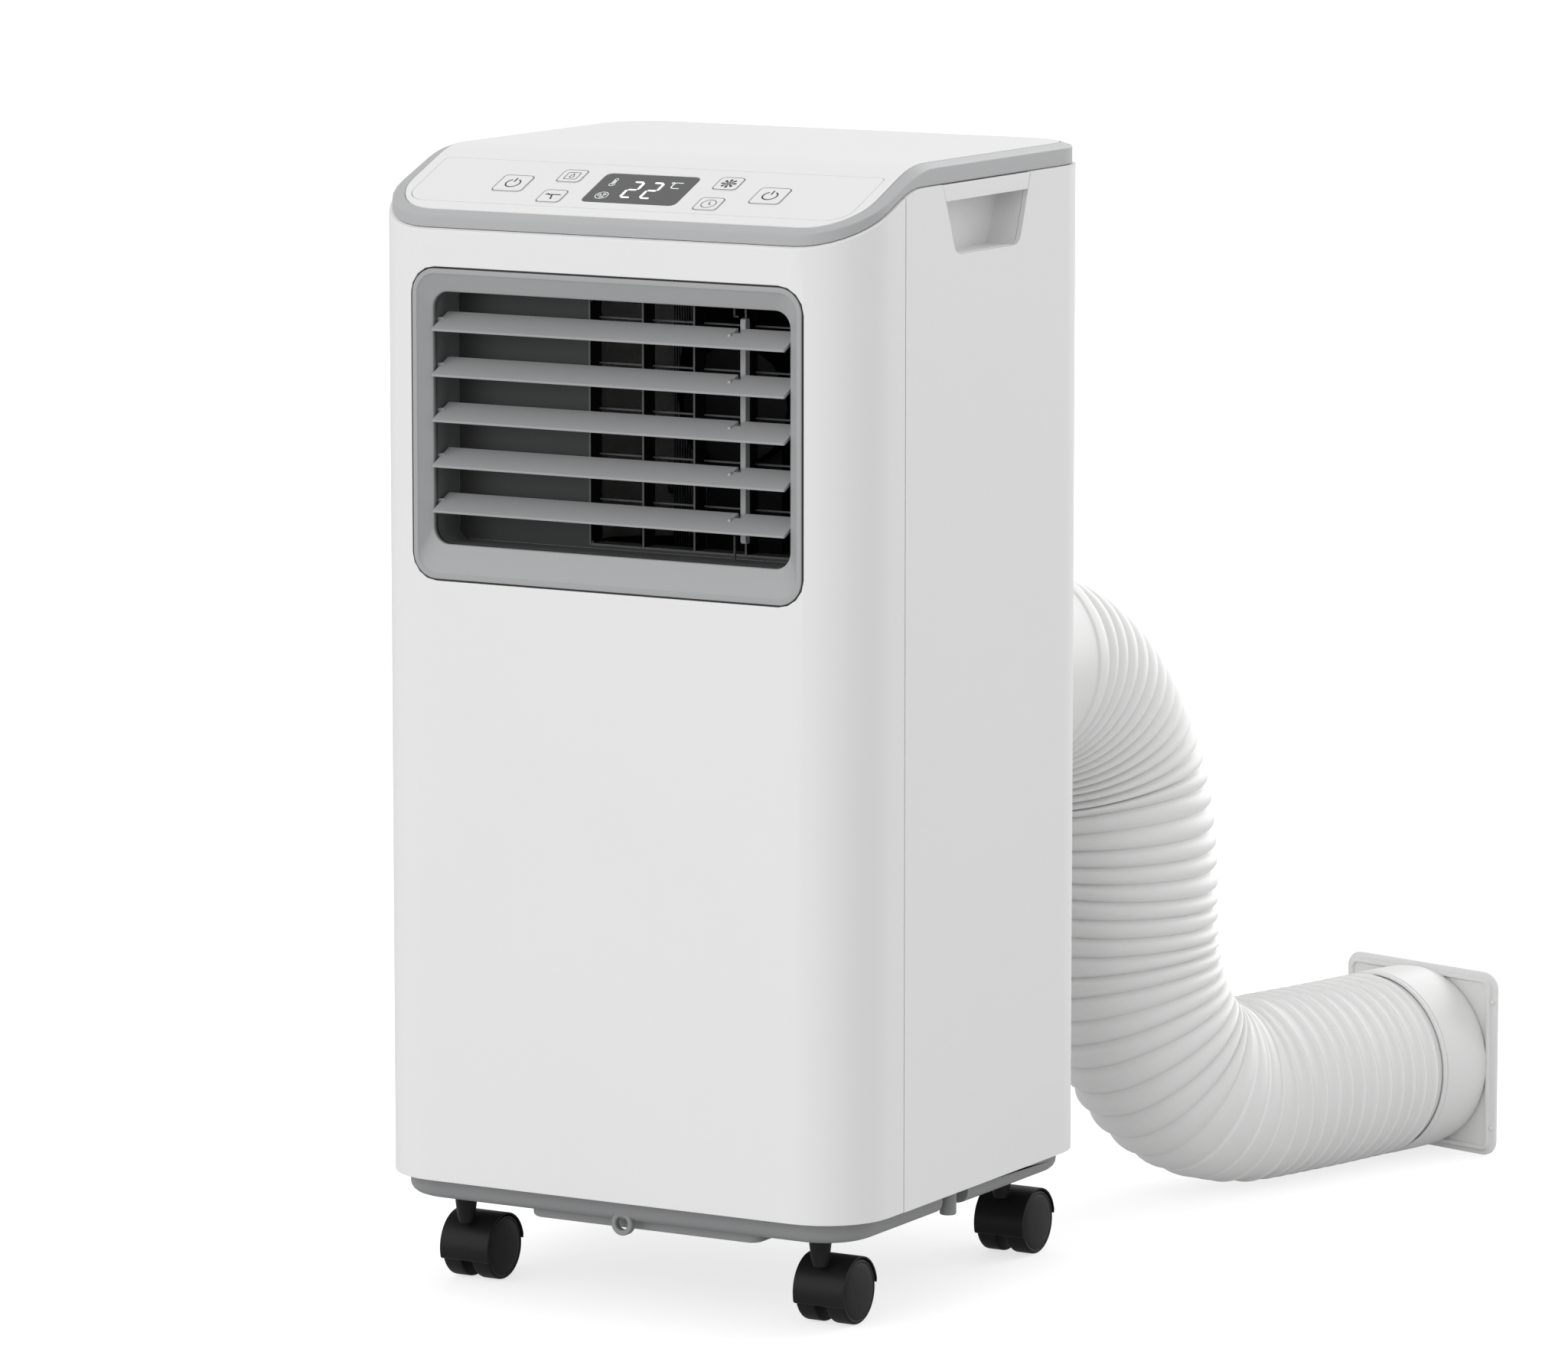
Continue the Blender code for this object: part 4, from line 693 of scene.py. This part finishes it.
def outlet_frame():
    """The picture frame round the outlet: a rounded rim, then a slope down to the mouth."""
    def mouth(grow, y):
        half, low, high, radius = MOUTH
        outline = rounded(-half - grow, half + grow, low - grow, high + grow, radius + grow, 12)
        return [(u, y, v) for u, v in outline]

    loops = [frame_outline(0.0006, FRONT + 0.0045), frame_outline(0.0006, FRONT + 0.0006),
             frame_outline(0.0007, FRONT + 0.0002), frame_outline(0.0010, FRONT),
             frame_outline(0.0034, FRONT), frame_outline(0.0037, FRONT + 0.0001),
             frame_outline(0.0040, FRONT + 0.0007), mouth(0.0008, -0.1445),
             mouth(0.0003, -0.1443), mouth(0.0, -0.1437), mouth(0.0, -0.1400),
             frame_outline(0.0, -0.1400, 0.003), frame_outline(0.0, FRONT + 0.0046, 0.003),
             frame_outline(0.0, FRONT + 0.0046)]
    work = bmesh.new()
    skin(work, loops, closed=True)
    piece = attach(add_mesh("outlet_frame", work), "cabinet", FRAME_GREY,
                   ["grille_frame"])
    piece.modifiers.new("even", "WEIGHTED_NORMAL")
    # painted shadow: a thin black ring sunk in the gap round the frame paints the shadow line there
    work = bmesh.new()
    skin(work, [frame_outline(0.0006, FRONT + 0.0009), frame_outline(-0.0005, FRONT + 0.0009),
                frame_outline(-0.0005, FRONT + 0.0024), frame_outline(0.0006, FRONT + 0.0024)],
         closed=True)
    attach(add_mesh("outlet_shadow_line", work, False), "cabinet", RUBBER)


def outlet_inside():
    """The dark panel at the back of the duct, and the guard: upright fins with level bars."""
    left, right, low, high = GUARD_BOX
    work = bmesh.new()
    for a, b in (((-0.1205, 0.4510), (left, 0.6000)), ((left, high), (0.1205, 0.6000)),
                 ((left, 0.4510), (0.1205, low)), ((right, low), (0.1205, high))):
        block(work, (a[0], DUCT_INSIDE - 0.0004, a[1]), (b[0], DUCT_INSIDE, b[1]))
    attach(add_mesh("duct_back_panel", work, False), "cabinet", PANEL)
    work = bmesh.new()
    for x in (left + 0.0006, *GUARD_FINS_X, right - 0.0006):
        block(work, (x - 0.0006, DUCT_INSIDE - 0.0008, low), (x + 0.0006, GUARD_FRONT, high))
    for z in GUARD_BARS_Z:
        block(work, (left, -0.1060, z - 0.0005), (right, -0.1040, z + 0.0005))
    for z in (low + 0.0006, high - 0.0006):
        block(work, (left, DUCT_INSIDE - 0.0006, z - 0.0006), (right, GUARD_FRONT, z + 0.0006))
    guard = add_mesh("guard_fins", work, False)
    attach(guard, "cabinet", GUARD, ["guard_grille"])
    # painted shade: the fins' side faces take the near-black material, painting the deep shadow beside
    # each fin
    guard.data.materials.append(SHADE_BLACK)
    for polygon in guard.data.polygons:
        polygon.material_index = int(abs(polygon.normal.x) > 0.5)
    work = bmesh.new()
    for edge, bottom, top in ((STOP_RIGHT, 0.4515, 0.4660), (STOP_RIGHT, 0.5935, 0.5995),
                              (0.0775, 0.5930, 0.5940)):
        block(work, (STOP_LEFT, STOP_FRONT, bottom), (edge, STOP_BACK, top))
    stops = add_mesh("link_rod_stops", work, False)
    attach(stops, "cabinet", PANEL)


outlet_frame()
outlet_inside()

# ---------------------------------------------------------------- base

BASE_INSET = 0.009
RIM_INSET = 0.0033
CORNER = 0.042
HALF_WIDTH = 0.166
NOTCH_Y = (-0.026, 0.005)
NOTCH_X = 0.147


def cabinet_loop(inset, z):
    half = HALF_WIDTH - inset
    outline = rounded(-half, half, FRONT + inset, REAR - inset, CORNER - inset, 16)
    return [(x, y, z) for x, y in outline]


def carve(piece, cutter):
    """Cut one mesh out of another for good."""
    step = piece.modifiers.new("cut", "BOOLEAN")
    step.operation = "DIFFERENCE"
    step.object = cutter
    made = bpy.data.meshes.new_from_object(
        piece.evaluated_get(bpy.context.evaluated_depsgraph_get()))
    piece.modifiers.clear()
    piece.data = made
    bpy.data.objects.remove(cutter)


def base():
    """The tray: a soft lower edge, a notch with a boss on both sides, a belly and an eyelet."""
    work = bmesh.new()
    skin(work, [
        cabinet_loop(0.0180, 0.0555), cabinet_loop(0.0150, 0.0558), cabinet_loop(0.0125, 0.0567),
        cabinet_loop(0.0106, 0.0582), cabinet_loop(0.0094, 0.0602), cabinet_loop(BASE_INSET, 0.0630),
        cabinet_loop(BASE_INSET, 0.0691), cabinet_loop(RIM_INSET, 0.0691),
        cabinet_loop(RIM_INSET, 0.0830), cabinet_loop(0.0063, 0.0830), cabinet_loop(0.0063, 0.0735),
    ], True, True)
    tray = add_mesh("base_shell", work)
    work = bmesh.new()
    for side in (-1, 1):
        near, far = sorted((side * NOTCH_X, side * (HALF_WIDTH + 0.004)))
        block(work, (near, NOTCH_Y[0], 0.050), (far, NOTCH_Y[1], 0.0690))
    for place in STEMS.values():
        turned(work, [(0.0044, 0.0500), (0.0044, 0.0665)], Matrix.Translation(place), 24)
    carve(tray, add_mesh("cutter", work, False))
    soften(tray, 0.0004, 40.0, dissolve=False)
    attach(tray, "cabinet", BASE, ["base_tray"])
    work = bmesh.new()
    prism(work, rounded(-0.065, 0.092, -0.131, -0.085, 0.006, 6), 0.0500, 0.0570, LEVEL, 0.0025)
    eyelet = [[(0.004 + x, y, 0.0545 + z) for x, z in circle((0, 0), radius, 32)]
              for y, radius in ((-0.1360, 0.0072), (-0.1400, 0.0072), (-0.1406, 0.0066),
                                (-0.1406, 0.0046), (-0.1400, 0.0040), (-0.1360, 0.0040))]
    skin(work, eyelet, closed=True)
    for side in (-1, 1):
        spot = Matrix.Translation((side * (NOTCH_X + 0.005), sum(NOTCH_Y) / 2, 0.0))
        turned(work, [(0.0044, 0.0520), (0.0050, 0.0526), (0.0050, 0.0700)], spot, 32)
    belly = soften(add_mesh("base_belly", work), 0.0003, 40.0, dissolve=False)
    attach(belly, "cabinet", BASE)


# ---------------------------------------------------------------- control panel

BUTTON_FACE = 0.00031


def power_symbol(work, center):
    u, v = center
    ribbon(work, arc(center, 0.0046, 118, 422, 28), 0.0010, BUTTON_FACE, SLOPED)
    ribbon(work, [(u, v + 0.0014), (u, v + 0.0062)], 0.0010, BUTTON_FACE, SLOPED)


def mode_symbol(work, center):
    """A square frame with a drop."""
    u, v = center
    ribbon(work, rounded(u - 0.0042, u + 0.0042, v - 0.0040, v + 0.0040, 0.0008, 3), 0.0005,
           BUTTON_FACE, SLOPED, closed=True)
    ribbon(work, arc((u, v - 0.0008), 0.0014, -220, 40, 12) + [(u, v + 0.0026)], 0.0005,
           BUTTON_FACE, SLOPED, closed=True)


def swing_symbol(work, center):
    """A level louver and a blade that hangs from it."""
    u, v = center
    ribbon(work, [(u - 0.0052, v + 0.0016), (u + 0.0052, v + 0.0016)], 0.0010, BUTTON_FACE,
           SLOPED)
    ribbon(work, [(u - 0.0006, v + 0.0012), (u + 0.0010, v - 0.0040)], 0.0011, BUTTON_FACE,
           SLOPED)
    ribbon(work, [(u - 0.0044, v + 0.0030), (u - 0.0016, v + 0.0006)], 0.0007, BUTTON_FACE,
           SLOPED)


def fan_symbol(work, center):
    """Eight petals round a hub."""
    u, v = center
    for i in range(8):
        angle = math.pi / 4 * i
        way = Vector((math.cos(angle), math.sin(angle)))
        ribbon(work, [Vector(center) + way * 0.0016, Vector(center) + way * 0.0030], 0.0011,
               BUTTON_FACE, SLOPED)
        ribbon(work, [Vector(center) + way * 0.0030, Vector(center) + way * 0.0050], 0.0017,
               BUTTON_FACE, SLOPED)
    ribbon(work, circle((u, v), 0.0009, 16), 0.0008, BUTTON_FACE, SLOPED, closed=True)


def timer_symbol(work, center):
    """A clock face."""
    u, v = center
    ribbon(work, circle(center, 0.0046, 32), 0.0005, BUTTON_FACE, SLOPED, closed=True)
    ribbon(work, [(u, v + 0.0026), (u, v), (u + 0.0018, v - 0.0012)], 0.0006, BUTTON_FACE,
           SLOPED)


BUTTONS = {
    "power_button_left": ((-0.087, 0.035), (0.0205, 0.0195), power_symbol),
    "power_button_right": ((0.087, 0.035), (0.0205, 0.0195), power_symbol),
    "mode_button": ((-0.053, 0.0472), (0.016, 0.015), mode_symbol),
    "swing_button": ((-0.053, 0.022), (0.016, 0.015), swing_symbol),
    "fan_button": ((0.053, 0.0472), (0.016, 0.015), fan_symbol),
    "timer_button": ((0.053, 0.022), (0.016, 0.015), timer_symbol),
}


def printed_buttons():
    for name, (center, size, symbol) in BUTTONS.items():
        dress(name, WHITE, 0.00015)
        work = bmesh.new()
        symbol(work, center)
        attach(add_mesh(name + "_symbol", work, False), name, INK)
        u, v = center
        half_u, half_v = size[0] / 2 - 0.0002, size[1] / 2 - 0.0002
        work = bmesh.new()
        ribbon(work, rounded(u - half_u, u + half_u, v - half_v, v + half_v, 0.0028, 6), 0.0004,
               BUTTON_FACE, SLOPED, closed=True)
        attach(add_mesh(name + "_outline", work, False), name, INK)


DISPLAY_FACE = 0.00002
DIGIT_SIZE = (0.0084, 0.0203)
DIGIT_LEFTS = (-0.0095, 0.0038)
DIGIT_LOW = 0.0244
SEGMENT = 0.0016


def segment(work, start, end):
    """One bar of a digit, with pointed ends."""
    start, end = Vector(start), Vector(end)
    way = (end - start).normalized()
    side = Vector((-way.y, way.x)) * SEGMENT / 2
    start, end = start + way * 0.0004, end - way * 0.0004
    outline = [start, start + way * SEGMENT / 2 + side, end - way * SEGMENT / 2 + side, end,
               end - way * SEGMENT / 2 - side, start + way * SEGMENT / 2 - side]
    prism(work, outline, DISPLAY_FACE, DISPLAY_FACE + 0.00005, SLOPED)


def display():
    work = bmesh.new()
    width, height = DIGIT_SIZE
    for left in DIGIT_LEFTS:
        low = DIGIT_LOW
        inset = SEGMENT / 2
        x0, x1 = left + inset, left + width - inset
        z0, z1, z2 = low + inset, low + height / 2, low + height - inset
        for start, end in (((x0, z2), (x1, z2)), ((x1, z2), (x1, z1)), ((x0, z1), (x1, z1)),
                           ((x0, z1), (x0, z0)), ((x0, z0), (x1, z0))):
            segment(work, start, end)
    attach(add_mesh("display_digits", work, False), "cabinet", GLOW)
    work = bmesh.new()
    ribbon(work, circle((0.0170, 0.0449), 0.0008, 20), 0.0005, DISPLAY_FACE, SLOPED, closed=True)
    ribbon(work, [(0.0238, 0.0453), (0.0204, 0.0453), *arc((0.0200, 0.0433), 0.0020, 100, 180, 4),
                  *arc((0.0200, 0.0405), 0.0020, 180, 260, 4), (0.0204, 0.0385),
                  (0.0238, 0.0385)], 0.0007, DISPLAY_FACE, SLOPED)
    ribbon(work, arc((-0.0220, 0.0460), 0.0010, 0, 180, 8) + [(-0.0230, 0.0415)]
           + arc((-0.0220, 0.0398), 0.0018, 125, 415, 16) + [(-0.0210, 0.0415)], 0.0004,
           DISPLAY_FACE, SLOPED, closed=True)
    ribbon(work, [(-0.0220, 0.0396), (-0.0220, 0.0450)], 0.0007, DISPLAY_FACE, SLOPED)
    ribbon(work, circle((-0.0215, 0.0262), 0.0040, 32), 0.0004, DISPLAY_FACE, SLOPED, closed=True)
    for turn in (0, 120, 240):
        start = arc((-0.0215, 0.0262), 0.0008, turn, turn, 1)[0]
        ribbon(work, [start, *arc((-0.0215, 0.0262), 0.0026, turn + 20, turn + 75, 5), start],
               0.0004, DISPLAY_FACE, SLOPED)
    attach(add_mesh("display_symbols", work, False), "cabinet", SYMBOL)


printed_buttons()
display()

# ---------------------------------------------------------------- casters

WHEEL_RADIUS = 0.0195
TRAIL = 0.0175
STEMS = {
    "front_left": Vector((-0.1221, -0.111, 0.0)),
    "front_right": Vector((0.1221, -0.111, 0.0)),
    "rear_left": Vector((-0.1221, 0.111, 0.0)),
    "rear_right": Vector((0.1221, 0.111, 0.0)),
}


def caster_housing(label, place):
    """A hood round the wheels with a web between them, and the post up to the base."""
    axle = (place.y + TRAIL, WHEEL_RADIUS)
    outline = arc(axle, 0.0206, 6, 9, 2) + arc(axle, 0.0211, 12, 196, 40) + arc(axle, 0.0200, 200, 6, 40)
    work = bmesh.new()
    strip = [Vector((place.x, *point)) for point in outline]
    half = 0.0168
    skin(work, [[p + Vector((x, 0, 0)) for p in strip] for x in (-half, half)], True, True)
    web = (arc(axle, 0.0208, 6, 198, 30)
           + [(axle[0] - 0.008, axle[1] - 0.008), (axle[0] + 0.008, axle[1] - 0.008)])
    strip = [Vector((place.x, *point)) for point in web]
    skin(work, [[p + Vector((x, 0, 0)) for p in strip] for x in (-0.003, 0.003)], True, True)
    post = Matrix.Translation(place)
    turned(work, [(0.0036, 0.0362), (0.0044, 0.0366), (0.0056, 0.0420), (0.0066, 0.0500),
                  (0.0068, 0.0530), (0.0064, 0.0538), (0.0040, 0.0540), (0.0040, 0.0650)],
           post, 32)
    housing = add_mesh(f"{label}_caster_hood", work)
    soften(housing, 0.0005, 40.0, dissolve=False)
    attach(housing, f"{label}_caster", NYLON, [f"{label}_caster_housing"])


def caster_wheel(label, which, place, side):
    """A wheel with a rounded tread, a dished face, a ring and a hub cap."""
    profile = [(0.0033, 0.0038), (0.0183, 0.0038), (0.0192, 0.0042), (0.0195, 0.0052),
               (0.0195, 0.0146), (0.0193, 0.0155), (0.0188, 0.0161), (0.0180, 0.0164),
               (0.0172, 0.0160), (0.0166, 0.0160), (0.0160, 0.0164), (0.0120, 0.0168),
               (0.0070, 0.0171), (0.0004, 0.0172)]
    placed = axes((0, side, 0), (0, 0, 1), place + Vector((0, TRAIL, WHEEL_RADIUS)))
    work = bmesh.new()
    turned(work, profile, placed, 64)
    name = f"{label}_wheel_{which}"
    wheel = attach(add_mesh(name + "_tyre", work), name, NYLON, [name])
    wheel.modifiers.new("even", "WEIGHTED_NORMAL")


base()
for caster_label, caster_place in STEMS.items():
    outward = 1 if caster_place.x > 0 else -1
    caster_housing(caster_label, caster_place)
    caster_wheel(caster_label, "outer", caster_place, outward)
    caster_wheel(caster_label, "inner", caster_place, -outward)
    dress(f"{caster_label}_caster_axle", STEEL, 0.0003)
